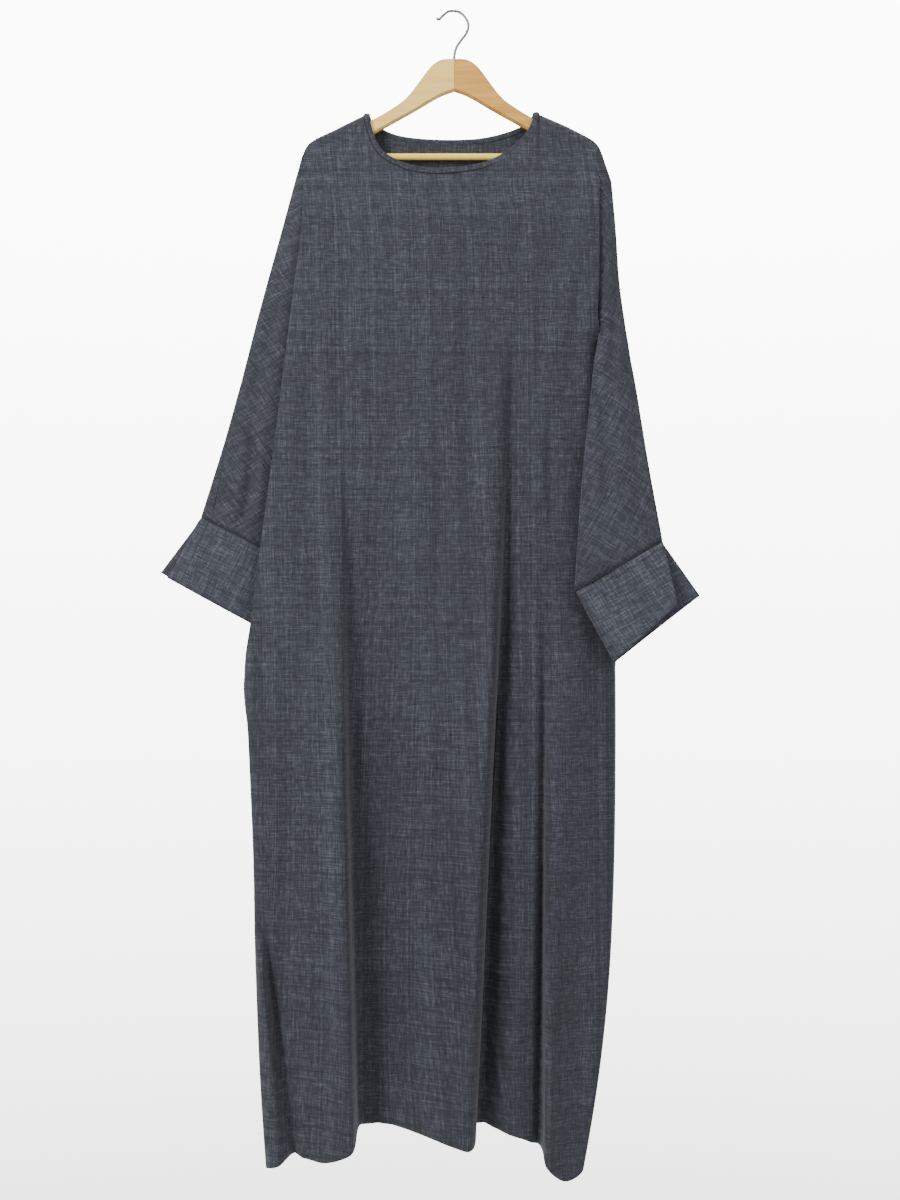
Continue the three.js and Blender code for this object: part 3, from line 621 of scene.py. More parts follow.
def body_rows():
    stops = (FIRST_Z, APEX_RIGHT_Z, APEX_LEFT_Z, SIDE_TOP_Z, HEM_Z)
    rows = [FIRST_Z]
    for a, b in zip(stops, stops[1:]):
        rows.extend(np.linspace(a, b, max(2, round((a - b) / ROW_STEP)) + 1)[1:])
    return rows


def link(sheet, above, below, has_left, has_right):
    """Faces between two rows, each with the grain of the sleeve or body that it is in."""
    n = len(above) - 1
    a = SLEEVE_COLUMNS if has_left else 0
    b = n - SLEEVE_COLUMNS if has_right else n
    if has_left:
        sheet.strip(above[:a + 1], below[:a + 1], SLEEVE_L)
    sheet.strip(above[a:b + 1], below[a:b + 1], BODY)
    if has_right:
        sheet.strip(above[b:], below[b:], SLEEVE_R)


def shoulder_rows(sheet, face):
    """The rows from the neck and shoulder seams down to the first section; the last one."""
    left = attached_sleeve("left", FIRST_Z, face)[:-1]
    right = attached_sleeve("right", FIRST_Z, face)[::-1][1:]
    start = np.vstack([left, SECTIONS[face](FIRST_Z), right])
    count = len(start)
    columns = SLEEVE_COLUMNS + (SHOULDER_FRONT if face < 0 else SHOULDER_BACK)
    top = top_edge(face, count - 1 - 2 * columns, columns)
    from_end = np.minimum(np.arange(count), np.arange(count)[::-1])
    inside = np.sin(np.pi / 2 * np.minimum(1, from_end / SHOULDER_ROUND))
    previous = None
    for share in [*FIRST_SHARES, *np.linspace(ROLL_SHARE, 1, SHOULDER_ROWS)[:-1]]:
        points = mix(top, start, share)
        if share > 0:
            roll = min(1, share / ROLL_SHARE) ** ROLL_POWER
            past = (np.abs(points[:, 1]) - OVER_WOOD_Y) / WOOD_EASE
            over_wood = OVER_WOOD_Y + np.log1p(np.exp(past)) * WOOD_EASE
            settled = mix(top[:, 1], face * over_wood, roll)
            plain = mix(top[:, 1], start[:, 1], share)
            below_wood = ease((share - BELOW_WOOD_SHARE) / (1 - BELOW_WOOD_SHARE))
            points[:, 1] = mix(plain, mix(settled, plain, below_wood), inside)
        row = sheet.row(creased(points, face), grains(points))
        if previous:
            link(sheet, previous, row, True, True)
        previous = row
    return previous


def panel(face, name, material):
    """The front (-1) or the back (1), in one with its halves of both sleeves."""
    sheet = Sheet()
    previous = shoulder_rows(sheet, face)
    apexes = {}
    for z in body_rows():
        has_left, has_right = z >= APEX_LEFT_Z - 0.01, z >= APEX_RIGHT_Z - 0.01
        points = SECTIONS[face](z)
        shaped = creased(points, face)
        if has_left:
            sleeve = attached_sleeve("left", z, face)
            points = np.vstack([sleeve[:-1], points])
            shaped = np.vstack([creased_sleeve(sleeve, face)[:-1], shaped])
        if has_right:
            sleeve = attached_sleeve("right", z, face)
            points = np.vstack([points, sleeve[::-1][1:]])
            shaped = np.vstack([shaped, creased_sleeve(sleeve, face)[::-1][1:]])
        row = sheet.row(shaped, grains(points))
        above = previous
        if not has_left and "left" not in apexes:
            apexes["left"], above = above[:SLEEVE_COLUMNS + 1], above[SLEEVE_COLUMNS:]
        if not has_right and "right" not in apexes:
            apexes["right"], above = above[-SLEEVE_COLUMNS - 1:], above[:-SLEEVE_COLUMNS]
        link(sheet, above, row, has_left, has_right)
        previous = row
    for side, turn, grain in (("left", 1, SLEEVE_L), ("right", -1, SLEEVE_R)):
        upper = apexes[side]
        for along in np.linspace(0, 1, FREE_SLEEVE_ROWS + 1)[1:]:
            points = free_sleeve(side, along, face)
            fading = float(ease(along * CUFF_FADE - (CUFF_FADE - 1)))
            shaped = mix(creased_sleeve(points, face), points, fading)
            row = sheet.row(shaped[::turn], grains(points[::turn]))
            sheet.strip(upper, row, grain)
            upper = row
    return sheet.build(name, CLOTH, material, face > 0)


def cuff_corners(side):
    """A cuff's corners over the arm, under it and at the inner hem, and the way down its fold."""
    over, under = sleeve_point(side, "over", 1), sleeve_point(side, "seam", 1)
    inner = np.array(SIDES[side]["inner"], float)
    return over, under, inner, (inner - under) / np.linalg.norm(inner - under)


def cuff_out(t):
    """How far a cuff's face stands out, from its open edge (0) to its fold (1)."""
    swell = np.sin(np.pi * np.minimum(1, SWELL_START + (1 - SWELL_START) * t))
    return CUFF_PUFF * swell + TIP_APART * (1 - t)


def cuff(side, material):
    shape = SIDES[side]
    over, under, inner, down = cuff_corners(side)
    t = np.linspace(0, 1, CUFF_COLUMNS + 1)
    sheet = Sheet()
    previous = None
    for share in np.arange(CUFF_ROWS + 1) / CUFF_ROWS:
        fold = mix(under + down * CUFF_GAP, inner, share) + [0, SEAM_Y, 0]
        around = []
        for tip, face in (("front_tip", -1), ("back_tip", 1)):
            edge = mix(over + down * CUFF_GAP, np.array(shape[tip], float), share)
            line = edge + (fold - edge) * t[:, None]
            line[:, 1] += face * cuff_out(t)
            around.append(line if face < 0 else line[::-1][1:])
        points = np.vstack(around)
        row = sheet.row(points, [(uv,) for uv in turned(points, shape["cuff_grain"])])
        if previous:
            sheet.strip(previous, row)
        previous = row
    return sheet.build(f"cuff_{side}_cloth", CUFF_CLOTH, material, side == "right")


def ring_faces(rings, sides, base=0, closed=False):
    """Faces between one ring of points and the next, and the caps of a tube that isn't closed."""
    faces = []
    for ring in range(rings if closed else rings - 1):
        here, after = base + ring * sides, base + (ring + 1) % rings * sides
        for s in range(sides):
            beside = (s + 1) % sides
            faces.append((here + s, here + beside, after + beside, after + s))
    if not closed:
        faces.append(tuple(range(base, base + sides))[::-1])
        faces.append(tuple(range(base + (rings - 1) * sides, base + rings * sides)))
    return faces


def tube(name, path, frames, section, material, closed=False):
    """A tube of a section (wide, deep) swept along a path with its own wide and deep directions."""
    count, sides = len(path), len(section)
    points = [p + wide * a + deep * b for p, (wide, deep) in zip(path, frames) for a, b in section]
    length, uvs = lengths(path), []
    for k in range(count if closed else count - 1):
        u0, u1 = length[k], length[k] + np.linalg.norm(path[(k + 1) % count] - path[k])
        for s in range(sides):
            v0, v1 = sum(section[s]), sum(section[(s + 1) % sides])
            uvs.append([(u0, v0), (u0, v1), (u1, v1), (u1, v0)])
    if not closed:
        uvs += [[(0, 0)] * sides] * 2
    mesh = new_mesh(name, points, ring_faces(count, sides, closed=closed))
    layer = mesh.uv_layers.new(name=GRAIN)
    for polygon, corners in zip(mesh.polygons, uvs):
        polygon.use_smooth = len(polygon.vertices) == 4
        for loop, uv in zip(polygon.loop_indices, corners):
            layer.data[loop].uv = (uv[0] * MM, uv[1] * MM)
    mesh.validate()
    return as_piece(mesh, material)


BINDING_SQUARE_WIDE, BINDING_SQUARE_DEEP = 0.6, 0.8     # below 1, the section is squarer
BINDING_SLACK = 0.1


def binding(material):
    (front, front_away), (back, back_away) = neck_places(-1), neck_places(1)
    path = np.vstack([front[:-1], back[::-1][:-1]])
    away = np.vstack([front_away[:-1], back_away[::-1][:-1]])
    forward = units(np.roll(path, -1, 0) - np.roll(path, 1, 0))
    out = units(np.cross(forward, away))
    angles = (np.arange(BINDING_SECTION) + 0.5) / BINDING_SECTION * 2 * np.pi
    c, s = np.cos(angles), np.sin(angles)
    wide = np.sign(c) * np.abs(c) ** BINDING_SQUARE_WIDE * (BINDING_WIDTH / 2 - BINDING_SLACK)
    deep = np.sign(s) * np.abs(s) ** BINDING_SQUARE_DEEP * BINDING_THICK / 2
    return tube("neck_binding_cloth", path + away * BINDING_WIDTH / 2, list(zip(away, out)),
                list(zip(wide, deep)), material, closed=True)


NEARLY_Y = np.array([0, 1.0, 0.03])         # never quite along a seam
SEAM_SIDES = 10


def turns(sides):
    """So many angles, evenly round a full turn."""
    return np.arange(sides) / sides * 2 * np.pi


def round_section(radius, sides=SEAM_SIDES):
    return [(radius * math.cos(a), radius * math.sin(a)) for a in turns(sides)]


def seam_roll(name, path, radius, material):
    """A thin roll of cloth that closes a seam."""
    path = np.asarray(path, float)
    forward = units(np.gradient(path, axis=0))
    wide = units(np.cross(forward, NEARLY_Y))
    deep = np.cross(forward, wide)
    return tube(name, path, list(zip(wide, deep)), round_section(radius), material)


# ---------- materials ----------
class Nodes:
    """A small helper that adds and links shader nodes."""

    def __init__(self, name):
        self.material = bpy.data.materials.new(name)
        self.material.use_nodes = True
        self.tree = self.material.node_tree
        self.shader = self.tree.nodes["Principled BSDF"]

    def put(self, value, socket):
        """A number or a colour set in a socket, or another socket linked to it."""
        if isinstance(value, bpy.types.NodeSocket):
            self.tree.links.new(value, socket)
        else:
            socket.default_value = value

    def add(self, kind, inputs=None, **settings):
        node = self.tree.nodes.new(kind)
        for key, value in settings.items():
            setattr(node, key, value)
        for key, value in (inputs or {}).items():
            self.put(value, node.inputs[key])
        return node

    def math(self, operation, *values):
        return self.add("ShaderNodeMath", dict(enumerate(values)), operation=operation).outputs[0]

    def noise(self, vector, scale=1.0, detail=2.0, rough=0.5):
        return self.add("ShaderNodeTexNoise", {
            "Vector": vector, "Scale": scale, "Detail": detail, "Roughness": rough}).outputs["Fac"]

    def place(self):
        return self.add("ShaderNodeTexCoord").outputs["Object"]

    def stretched(self, vector, x, y, z=1.0, turn=0.0):
        return self.add("ShaderNodeMapping", {
            "Vector": vector, "Rotation": (0, turn, 0), "Scale": (x, y, z)}).outputs[0]

    def span(self, value, low, high, to_low=0.0, to_high=1.0):
        return self.add("ShaderNodeMapRange", {
            "Value": value, "From Min": low, "From Max": high,
            "To Min": to_low, "To Max": to_high}).outputs[0]

    def blend(self, factor, a, b):
        node = self.add("ShaderNodeMix", {0: factor, 6: a, 7: b}, data_type="RGBA")
        return node.outputs[2]

    def bump(self, height, strength, distance):
        return self.add("ShaderNodeBump", {
            "Height": height, "Strength": strength, "Distance": distance}).outputs[0]

    def look(self, inputs):
        """The finished material, with these inputs of its shader."""
        for name, value in inputs.items():
            self.put(value, self.shader.inputs[name])
        return self.material

    def threads(self, along, across, per_metre, slubs_per_metre, seed, own_share):
        """Threads side by side, each with its own slubs: how pale each is, and its profile."""
        place = self.math("MULTIPLY_ADD", across, per_metre, seed)
        index = self.math("FLOOR", place)
        own = self.add("ShaderNodeTexWhiteNoise", {"W": index}, noise_dimensions="1D").outputs["Value"]
        start = self.math("MULTIPLY", own, FAR_APART)
        w = self.math("MULTIPLY_ADD", along, slubs_per_metre, start)
        noise = {"W": w, "Scale": 1.0, "Detail": 2.0, "Roughness": 0.55}
        slub = self.add("ShaderNodeTexNoise", noise, noise_dimensions="1D").outputs["Fac"]
        centre = self.math("ABSOLUTE", self.math("SUBTRACT", self.math("FRACT", place), 0.5))
        fall = self.math("MULTIPLY", centre, self.math("MULTIPLY", centre, 4.0))
        profile = self.math("SUBTRACT", 1.0, fall)
        shared = self.span(slub, *SLUB_SPAN, 0.0, 1 - own_share)
        return self.math("ADD", shared, self.math("MULTIPLY", own, own_share)), profile


def srgb(r, g, b):
    def linear(c):
        c /= 255
        return c / 12.92 if c <= 0.04045 else ((c + 0.055) / 1.055) ** 2.4
    return (linear(r), linear(g), linear(b), 1.0)


FAR_APART = 913.0               # between two threads' places in the slubs' noise
SLUB_SPAN = 0.27, 0.73
# the weave in three finenesses: its weight in the tone, then for the warp and for the weft the
# threads and the slubs per metre, a seed, and the share of a thread's own tone
WEAVE = (
    (0.125, (560, 13, 7.3, 0.36), (590, 17, 3.1, 0.3)),
    (0.175, (1250, 70, 1.7, 0.35), (1300, 66, 9.2, 0.35)),
    (0.2, (760, 46, 5.9, 0.35), (800, 50, 2.6, 0.35)),
)
CLOTH_DARK, CLOTH_MIDDLE, CLOTH_PALE = (29, 31, 37), (69, 72, 81), (120, 125, 139)
CLOTH_COOL, COOL_SHARE = (66, 73, 79), 0.22
TONE_MIDDLE, TONE_REACH = 0.5, 0.3          # where the ramp from dark to pale lies in the tone
BAND = 0.03                     # how far the tone sways in bands along the threads


def cloth_material(name, gain=1.0, contrast=1.0):
    """Charcoal slub weave: pale and dark slubs, thread by thread, in both directions."""
    def shade(colour):
        return srgb(*(c * gain for c in colour))

    n = Nodes(name)
    grain = n.add("ShaderNodeUVMap", uv_map=GRAIN).outputs[0]
    u, v = n.add("ShaderNodeSeparateXYZ", {0: grain}).outputs[:2]
    tones, heights = [], []
    for weight, warp_threads, weft_threads in WEAVE:
        warp, warp_round = n.threads(v, u, *warp_threads)
        weft, weft_round = n.threads(u, v, *weft_threads)
        tones.append(n.math("MULTIPLY", n.math("ADD", warp, weft), weight))
        heights.append(((warp, warp_round), (weft, weft_round)))
    bands = n.noise(n.stretched(grain, 34, 3.2), detail=2)
    patch = n.noise(n.stretched(grain, 9, 7), detail=3)
    tones.append(n.span(bands, 0.3, 0.7, -BAND, BAND))
    tone = tones[0]
    for further in tones[1:]:
        tone = n.math("ADD", tone, further)
    ramp = n.add("ShaderNodeValToRGB", {0: tone})
    stops = ramp.color_ramp.elements
    reach = TONE_REACH / contrast
    stops[0].position, stops[0].color = TONE_MIDDLE - reach, shade(CLOTH_DARK)
    stops[1].position, stops[1].color = TONE_MIDDLE + reach, shade(CLOTH_PALE)
    stops.new(TONE_MIDDLE).color = shade(CLOTH_MIDDLE)
    coolness = n.span(patch, 0.42, 0.68, 0.0, COOL_SHARE)
    height = n.math("MAXIMUM", *(n.math("MULTIPLY", *pair) for pair in heights[0]))
    return n.look({
        "Base Color": n.blend(coolness, ramp.outputs[0], shade(CLOTH_COOL)),
        "Roughness": n.span(tone, 0.2, 0.8, 0.9, 0.76),
        "Sheen Weight": 0.12, "Sheen Roughness": 0.5, "Specular IOR Level": 0.25,
        "Normal": n.bump(height, 0.5, 0.0005),
    })


TWIST = 2600                    # fineness of the thread's plies


def thread_material():
    """Sewing thread: two plies twisted along each stitch."""
    n = Nodes("thread")
    twist = n.noise(n.stretched(n.place(), TWIST, TWIST, TWIST), detail=1)
    return n.look({
        "Base Color": n.blend(n.span(twist, 0.4, 0.6), srgb(52, 53, 59), srgb(78, 80, 88)),
        "Roughness": 0.7, "Normal": n.bump(twist, 0.4, 0.0002),
    })


PORE_SHARE, PORE_DARK = 0.35, 0.55


def wood_material(name, pale, dark, turn=0.0):
    """Lacquered pale wood with fine grain along the piece."""
    n = Nodes(name)
    place = n.place()
    rings = n.noise(n.stretched(place, 6, 60, 110, turn), detail=6, rough=0.62)
    pores = n.noise(n.stretched(place, 30, 500, 700, turn), detail=3)
    colour = n.blend(n.span(rings, 0.36, 0.66), pale, dark)
    pore_colour = tuple(PORE_DARK * c for c in dark[:3]) + (1.0,)
    return n.look({
        "Base Color": n.blend(n.span(pores, 0.56, 0.74, 0.0, PORE_SHARE), colour, pore_colour),
        "Roughness": n.span(rings, 0.3, 0.7, 0.34, 0.46),
        "Coat Weight": 0.25, "Coat Roughness": 0.25, "Normal": n.bump(pores, 0.25, 0.0002),
    })


def chrome_material():
    n = Nodes("chrome")
    smudge = n.noise(n.stretched(n.place(), 60, 60, 90), detail=4)
    smudged = n.span(smudge, 0.4, 0.7, 0.0, 0.3)
    return n.look({
        "Base Color": n.blend(smudged, srgb(132, 133, 137), srgb(98, 100, 104)),
        "Roughness": n.span(smudge, 0.3, 0.7, 0.38, 0.5), "Metallic": 1.0,
    })


# ---------- hanger ----------
ARM_TOP = ((10, -69.6), (20, -71), (29, -75.5), (38, -84), (47.5, -96.5), (57.5, -110),
           (66, -121), (76, -131), (93, -143), (121, -159.1), (165, -178), (200, -196), (212, -206))
ARM_END = ((217, -216), (214, -226), (204, -228))
ARM_UNDER = ((160, -204), (112, -176), (60, -147), (20, -124), (1, -117))
MIDDLE_X, MIDDLE_TOP_Z = 1, -70             # where the two arms meet
MEET_OVER = 0.05                # how far each arm reaches past the middle
FLAT_END_SHARE = 0.12           # of the inset, at the flat end in the middle
TOP_STEPS, END_STEPS, UNDER_STEPS = 70, 14, 50
# the arm's rounded edge: each layer's depth, and how far its outline lies inside the widest
ARM_LAYERS = ((-6, 2.6), (-5.5, 1.3), (-4.4, 0.45), (-2.8, 0.05), (0, 0), (2.8, 0.05),
              (4.4, 0.45), (5.5, 1.3), (6, 2.6))
ARM_SLOPE = 28                  # degrees that the wood's grain leans with the arm
WIRE_RADIUS = 2.0


def smooth(points, count):
    flat = np.array([(x, 0, z) for x, z in points], float)
    return curve_points(flat, np.linspace(0, 1, count))[:, [0, 2]]


def arm_ring(sign):
    """The outline of the arm on the left (-1) or the right (1), from the middle and back to it."""
    start_x = MIDDLE_X - MEET_OVER
    ring = np.vstack([
        [(start_x, MIDDLE_TOP_Z)], smooth(ARM_TOP, TOP_STEPS),
        smooth(ARM_TOP[-1:] + ARM_END, END_STEPS)[1:],
        smooth(ARM_END[-1:] + ARM_UNDER, UNDER_STEPS)[1:-1], [(start_x, ARM_UNDER[-1][1])],
    ])
    ring[:, 0] = MIDDLE_X + sign * (ring[:, 0] - MIDDLE_X)
    return ring


def hanger_arm(side, material):
    sign = -1 if side == "left" else 1
    ring = arm_ring(sign)
    tangent = np.roll(ring, -1, 0) - np.roll(ring, 1, 0)
    tangent /= np.maximum(1e-6, np.linalg.norm(tangent, axis=1))[:, None]
    normal = np.stack([tangent[:, 1], -tangent[:, 0]], 1) * -sign
    normal[0], normal[-1] = (-sign * FLAT_END_SHARE, 1), (-sign * FLAT_END_SHARE, -1)
    points = np.vstack([np.insert(ring - inset * normal, 1, depth, axis=1)
                        for depth, inset in ARM_LAYERS])
    faces = ring_faces(len(ARM_LAYERS), len(ring))
    faces[-2:] = [f[::-1] for f in faces[-2:]]
    if side == "right":
        faces = [f[::-1] for f in faces]
    mesh = new_mesh(f"hanger_arm_{side}_wood", points, faces)
    for polygon in mesh.polygons:
        polygon.use_smooth = len(polygon.vertices) == 4
    mesh.validate()
    return as_piece(mesh, material)


HOOK_PATH = ((-25, -9), (-22, -11), (-15, -5), (-8, 0.5), (0, 1.5), (9, -0.5), (18, -9), (22, -20),
             (19, -31), (11, -42), (5, -51), (2, -60), (1, -70), (1, -90))
HOOK_STEPS = 120
BAR_REACH, BAR_Z, BAR_RADIUS = 192, -213, 5
BAR_STEPS, BAR_SIDES = 40, 32


def hook(material):
    path = smooth(HOOK_PATH, HOOK_STEPS)
    return seam_roll("hanger_hook_wire", np.insert(path, 1, 0, axis=1), WIRE_RADIUS, material)


def bar(material):
    path = [(x, 0, BAR_Z) for x in np.linspace(-BAR_REACH, BAR_REACH, BAR_STEPS)]
    frames = [(np.array([0, 0, 1.0]), np.array([0, 1.0, 0]))] * BAR_STEPS
    section = round_section(BAR_RADIUS, BAR_SIDES)
    return tube("hanger_bar_wood", np.array(path, float), frames, section, material)


# ---------- the scene, in metres ----------
# from below to above: the heights of direction, and the light's strength at both
AMBIENT = dict(heights=(-0.5, 0.8), strengths=(0.36, 1.05), colour=(0.97, 0.97, 1.0, 1))
# the wall that the camera sees: painted light and shade, brighter towards the top and darker towards
# the bottom
WALL = dict(heights=(-0.36, 0.3), strengths=(3.0, 12.0), colour=(1.0, 0.995, 0.985, 1))
LIGHTS = {                      # place, aim, size and power
    "key": ((-1.9, -2.2, 0.3), (0, 0, -0.7), (1.1, 1.3), 86),
    "fill": ((1.7, -2.6, 0.2), (0, 0, -0.7), (1.8, 1.8), 31),
    "top": ((0, -0.7, 1.5), (0, -0.35, -2.0), (1.8, 1.4), 14),
    "back": ((1.4, 2.6, 0.2), (0, 0, -0.7), (1.8, 1.8), 85),
}
FLOOR_Z, FLOOR_RADIUS, FLOOR_SIDES = -2.4, 0.8, 96


def camera():
    data = bpy.data.cameras.new("camera")
    seen_height = PHOTO_HEIGHT * MM_PER_PIXEL * MM
    data.sensor_width = SENSOR_WIDTH
    data.lens = data.sensor_width * CAMERA_DISTANCE * MM / seen_height
    holder = in_scene("camera", data)
    x = (PHOTO_WIDTH / 2 - HOOK_SEAT_PIXEL[0]) * MM_PER_PIXEL * MM
    z = -(PHOTO_HEIGHT / 2 - HOOK_SEAT_PIXEL[1]) * MM_PER_PIXEL * MM
    holder.location = (x, -CAMERA_DISTANCE * MM, z)
    holder.rotation_euler = (math.pi / 2, 0, 0)
    bpy.context.scene.camera = holder


def area_light(name, place, aim, size, power):
    data = bpy.data.lights.new(name, "AREA")
    data.shape = "RECTANGLE"
    data.size, data.size_y = size
    data.energy = power
    holder = in_scene(name, data)
    holder.location = place
    holder.rotation_euler = (Vector(aim) - Vector(place)).to_track_quat("-Z", "Y").to_euler()


def surroundings():
    """The world: soft light on the pieces, and a pale wall where the camera looks past them, with
    painted shade that darkens it towards the bottom.
    """
    world = bpy.data.worlds.new("studio")
    world.use_nodes = True
    nodes, links = world.node_tree.nodes, world.node_tree.links
    soft, wall = nodes["Background"], nodes.new("ShaderNodeBackground")
    split = nodes.new("ShaderNodeSeparateXYZ")
    links.new(nodes.new("ShaderNodeTexCoord").outputs["Generated"], split.inputs[0])
    for shader, look in ((soft, AMBIENT), (wall, WALL)):
        ramp = nodes.new("ShaderNodeMapRange")
        for name, value in zip(("From Min", "From Max", "To Min", "To Max"),
                               look["heights"] + look["strengths"]):
            ramp.inputs[name].default_value = value
        shader.inputs[0].default_value = look["colour"]
        links.new(split.outputs[2], ramp.inputs["Value"])
        links.new(ramp.outputs[0], shader.inputs[1])
    mixer = nodes.new("ShaderNodeMixShader")
    seen = nodes.new("ShaderNodeLightPath").outputs["Is Camera Ray"]
    for socket, value in zip(mixer.inputs, (seen, soft.outputs[0], wall.outputs[0])):
        links.new(value, socket)
    links.new(mixer.outputs[0], nodes["World Output"].inputs[0])
    bpy.context.scene.world = world


def studio():
    surroundings()
    for name, light in LIGHTS.items():
        area_light(name, *light)
    bpy.ops.mesh.primitive_circle_add(
        vertices=FLOOR_SIDES, radius=FLOOR_RADIUS, fill_type="NGON", location=(0, 0, FLOOR_Z))
    floor = bpy.context.object
    floor.name = "floor"
    look = {"Base Color": srgb(252, 251, 249), "Roughness": 0.9}
    floor.data.materials.append(Nodes("floor").look(look))


# ---------- seams and stitches ----------
HEM_TURN = 22                   # the hem's stitch line above its edge
STITCH, STITCH_PITCH, STITCH_RADIUS = 2.4, 3.3, 0.3
STITCH_RINGS, STITCH_SIDES = ((0, 0.4), (0.2, 1), (0.8, 1), (1, 0.4)), 6    # share and width
THREAD_OUT = 0.1                # how far a stitch line lies off the cloth
LINE_INSET = 6                  # the left side seam's line, inside the body's edge
LINE_TOP_Z, LINE_END_Z, SCALLOP_END_Z = -960, -1205, -1400
LINE_STEPS, LINE_OUT, LINE_LEAST_INSET = 160, 0.7, 0.6
LINE_TURN_Z, LINE_TURN_HEIGHT = LINE_END_Z + 40, 60     # where it runs out to the edge
SCALLOP_PITCH, SCALLOP = 47, 1.6
EDGE_COLUMNS = 30               # of the front, from its left edge inwards
BARTACK_Z, BARTACK_WIDTH, BARTACK_START, BARTACK_OUT, BARTACK_STEPS = -1505, 8, 0.5, 0.8, 8
CUFF_EDGE_STITCH = 7
DITCH_REACH, NECK_STITCH_REACH = 0.3, -0.4  # past the binding's lower edge
SLIT_DEEP = -1.6
ROLLED_OUT = 0.4
RADII = dict(over_arm=1.3, rolled=0.9, side=1.1, cuff=1.0, slit=1.5, ditch=0.75, bartack=0.9,
             line=0.8)


def over_arm_path(side):
    """The shoulder and over-arm seam, from the neck to where it rolls to the front."""
    upper = SIDES[side]["upper"]
    shoulder = evenly(SIDES[side]["shoulder"], SEAM_STEPS)
    down = [edge_at(upper, "over", z)
            for z in np.linspace(FIRST_Z, SIDES[side]["apex"], SEAM_STEPS)]
    rest = [sleeve_point(side, "over", t) for t in np.linspace(0, 1, SEAM_STEPS)[1:]]
    return np.vstack([shoulder[::-1] if side == "left" else shoulder, down, rest])


def rolled_seam_path(side):
    """The over-arm seam near the cuff, where it lies a little way round on the front."""
    shape = SIDES[side]
    start = shape["rolled_from"]
    path = []
    for along in np.linspace(start, 1, ROLLED_STEPS):
        share = mix(shape["rolled_first"], shape["rolled_last"], (along - start) / (1 - start))
        line = free_sleeve(side, along, -1)
        at = share * SLEEVE_COLUMNS
        k = int(at)
        path.append(mix(line[k], line[k + 1], at - k) + [0, -ROLLED_OUT, 0])
    return np.array(path)


def cuff_seam_path(side):
    down = cuff_corners(side)[-1]
    front, back = free_sleeve(side, 1, -1), free_sleeve(side, 1, 1)
    return np.vstack([front, back[::-1][1:-1]]) + down * CUFF_GAP / 2


def side_path(side):
    body, rise = SIDES[side]["body"], SIDES[side]["hem"] - HEM_Z
    return [edge_at(body, "seam", z) + [0, SEAM_Y, rise * hem_wave(z)]
            for z in np.linspace(SIDE_TOP_Z, HEM_Z, SIDE_STEPS)]


def under_arm_path(side):
    """The underarm seam: up the body's side to its apex, then along the sleeve to the cuff."""
    def half_gap(z):
        return (apart(z) if side == "right" else 2 * SEAM_Y) / 2

    heights = np.linspace(SIDE_TOP_Z, SIDES[side]["apex"], UNDER_ARM_STEPS)
    path = [edge_at(SIDES[side]["body"], "seam", z) for z in heights]
    path += [sleeve_point(side, "seam", t) for t in np.linspace(0, 1, UNDER_ARM_STEPS)[1:]]
    return [p + [0, half_gap(p[2]), 0] for p in path]


def neck_path(face, reach, out):
    """A line round the neck, past the binding's lower edge and out from the cloth."""
    points, away = neck_places(face)
    return (points + away * (BINDING_WIDTH + reach) + [0, face * out, 0])[2:-2]


def cuff_slit_path(side):
    """The folded edge of the cuff's front flap, along the slit; its roll is drawn dark, a folded edge
    with painted shadow of the gap behind the flap.
    """
    over, tip = cuff_corners(side)[0], np.array(SIDES[side]["front_tip"], float)
    return [mix(over, tip, t) + [0, SLIT_DEEP, 0] for t in np.linspace(0.06, 0.99, 30)]


def near_left_edge(z, insets, out):
    """Places on the front at a height, so far inside its left edge and out from it."""
    section = creased(front_section(z), -1)
    outer = int(np.argmin(section[:, 0]))
    reach = section[outer:outer + EDGE_COLUMNS]
    return [[x, float(np.interp(x, reach[:, 0], reach[:, 1])) - out, z]
            for x in section[outer, 0] + np.asarray(insets)]


def bartack_path():
    """The short tack across the left side seam, low on the body."""
    insets = np.linspace(BARTACK_START, BARTACK_WIDTH, BARTACK_STEPS)
    return near_left_edge(BARTACK_Z, insets, BARTACK_OUT)


def side_line_path():
    """The left seam's line on the front, which runs out to the edge and puckers there."""
    path = []
    for z in np.linspace(LINE_TOP_Z, SCALLOP_END_Z, LINE_STEPS):
        pucker = SCALLOP * abs(math.sin(math.pi * (z - LINE_END_Z) / SCALLOP_PITCH))
        inset = LINE_INSET if z > LINE_END_Z else LINE_LEAST_INSET + pucker
        inset = mix(LINE_INSET, inset, float(ease((LINE_TURN_Z - z) / LINE_TURN_HEIGHT)))
        path += near_left_edge(z, [inset], LINE_OUT)
    return path


def hem_path(face):
    points = creased(SECTIONS[face](HEM_Z + HEM_TURN), face)
    return points + [0, face * (CLOTH / 2 + THREAD_OUT), 0]


def stitches(name, path, material):
    """Short thread stitches laid end to end along a path, as one piece."""
    path = np.asarray(path, float)
    length = lengths(path)
    sides, rings = STITCH_SIDES, len(STITCH_RINGS)
    points, faces = [], []
    for k in range(int(length[-1] / STITCH_PITCH)):
        start = k * STITCH_PITCH
        first, last = at_lengths(np.array([start, start + STITCH]), length, path)
        forward = (last - first) / np.linalg.norm(last - first)
        wide = np.cross(forward, NEARLY_Y)
        wide /= np.linalg.norm(wide)
        deep = np.cross(forward, wide)
        for share, width in STITCH_RINGS:
            points.extend(mix(first, last, share)
                          + STITCH_RADIUS * width * (wide * math.cos(a) + deep * math.sin(a))
                          for a in turns(sides))
        faces += ring_faces(rings, sides, k * rings * sides)
    return as_piece(new_mesh(name, points, faces), material)


FACES = {"front": -1, "back": 1}


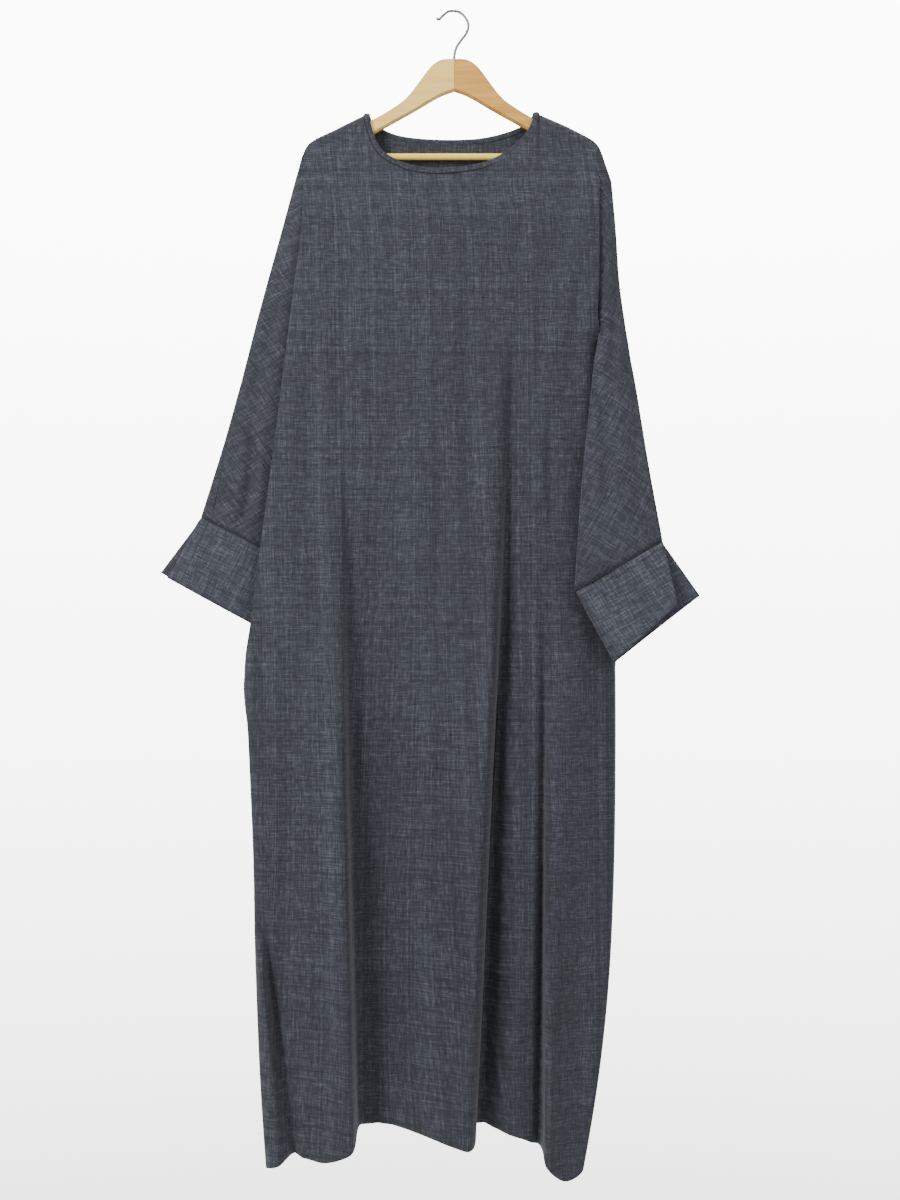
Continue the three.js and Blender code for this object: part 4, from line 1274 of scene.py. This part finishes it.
def cuff_stitches(side, material):
    over, _, inner, _ = cuff_corners(side)
    t = np.linspace(0.03, 0.97, 60)[:, None]
    pieces = []
    for place, face in FACES.items():
        tip = np.array(SIDES[side][f"{place}_tip"], float)
        up = (over - tip) / np.linalg.norm(over - tip) * CUFF_EDGE_STITCH
        line = tip + (inner - tip) * t + up
        line[:, 1:2] += face * (cuff_out(t) + CUFF_CLOTH / 2 + THREAD_OUT) + SEAM_Y * t
        pieces.append(stitches(f"cuff_stitches_{side}_{place}", line, material))
    return pieces


def sewing(body_cloth):
    """Every seam, slit, ditch, tack and stitch line, in its own material; the cuff seams, cuff slits
    and neck ditches in darker copies of the cloth, as painted shade.
    """
    # the cuff seams' cloth: a darker copy of the body's, painted shade in the seam's groove
    seam_painted_shade = cloth_material("seam_painted_shade", 0.46)
    # a much darker copy of the cloth: painted shadow in the neck binding's ditch and in the gap behind
    # each cuff's front flap
    ditch_painted_shadow = cloth_material("ditch_painted_shadow", 0.3)
    thread = thread_material()
    pieces = []
    for side, shape in SIDES.items():
        for name, path, radius, material in (
                ("over_arm_seam", over_arm_path, RADII["over_arm"], body_cloth),
                ("rolled_seam", rolled_seam_path, RADII["rolled"], body_cloth),
                ("side_seam", side_path, RADII["side"], body_cloth),
                ("cuff_seam", cuff_seam_path, RADII["cuff"], seam_painted_shade),
                ("under_arm_seam", under_arm_path, shape["under_arm_radius"], body_cloth),
                ("cuff_slit", cuff_slit_path, RADII["slit"], ditch_painted_shadow)):
            pieces.append(seam_roll(f"{name}_{side}", path(side), radius, material))
        pieces.extend(cuff_stitches(side, thread))
    for place, face in FACES.items():
        # dark rolls just past the binding's lower edge: painted shadow in its ditch
        path = neck_path(face, DITCH_REACH, CLOTH / 2)
        pieces.append(seam_roll(f"neck_ditch_shadow_{place}", path, RADII["ditch"], ditch_painted_shadow))
    pieces.append(seam_roll("bartack", bartack_path(), RADII["bartack"], thread))
    pieces.append(seam_roll("side_line", side_line_path(), RADII["line"], body_cloth))
    for place, face in FACES.items():
        path = neck_path(face, NECK_STITCH_REACH, BINDING_THICK / 2)
        pieces.append(stitches(f"neck_stitches_{place}", path, thread))
    for place, face in FACES.items():
        pieces.append(stitches(f"hem_stitches_{place}", hem_path(face), thread))
    return pieces


def main():
    camera()
    studio()
    body_cloth = cloth_material("cloth", 0.725, 1.06)
    # the cuffs' cloth: a lighter copy of the body's, painted light
    cuff_cloth_painted_light = cloth_material("cuff_cloth_painted_light", 0.84, 1.06)
    slope = math.radians(ARM_SLOPE)
    pale_wood = wood_material("wood_pale", srgb(255, 216, 122), srgb(244, 194, 96), -slope)
    warm_wood = wood_material("wood_warm", srgb(228, 172, 78), srgb(198, 140, 52), slope)
    bar_wood = wood_material("wood_bar", srgb(255, 224, 96), srgb(255, 204, 70))
    chrome = chrome_material()

    front = panel(-1, "front_cloth", body_cloth)
    back = panel(1, "back_cloth", body_cloth)
    neck = binding(body_cloth)
    cuffs = {side: cuff(side, cuff_cloth_painted_light) for side in SIDES}
    seams = sewing(body_cloth)
    hanger = {
        "hanger_arm_left": hanger_arm("left", pale_wood),
        "hanger_arm_right": hanger_arm("right", warm_wood),
        "hanger_bar": bar(bar_wood),
        "hanger_hook": hook(chrome),
    }

    for piece, node in ((front, "front"), (back, "back"), (neck, "neck_binding"),
                        (cuffs["left"], "cuff_left"), (cuffs["right"], "cuff_right")):
        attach(piece, "root")
        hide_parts(node)
    for seam in seams:
        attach(seam, "root")
    for node, piece in hanger.items():
        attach(piece, "root")
        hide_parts(node)


main()
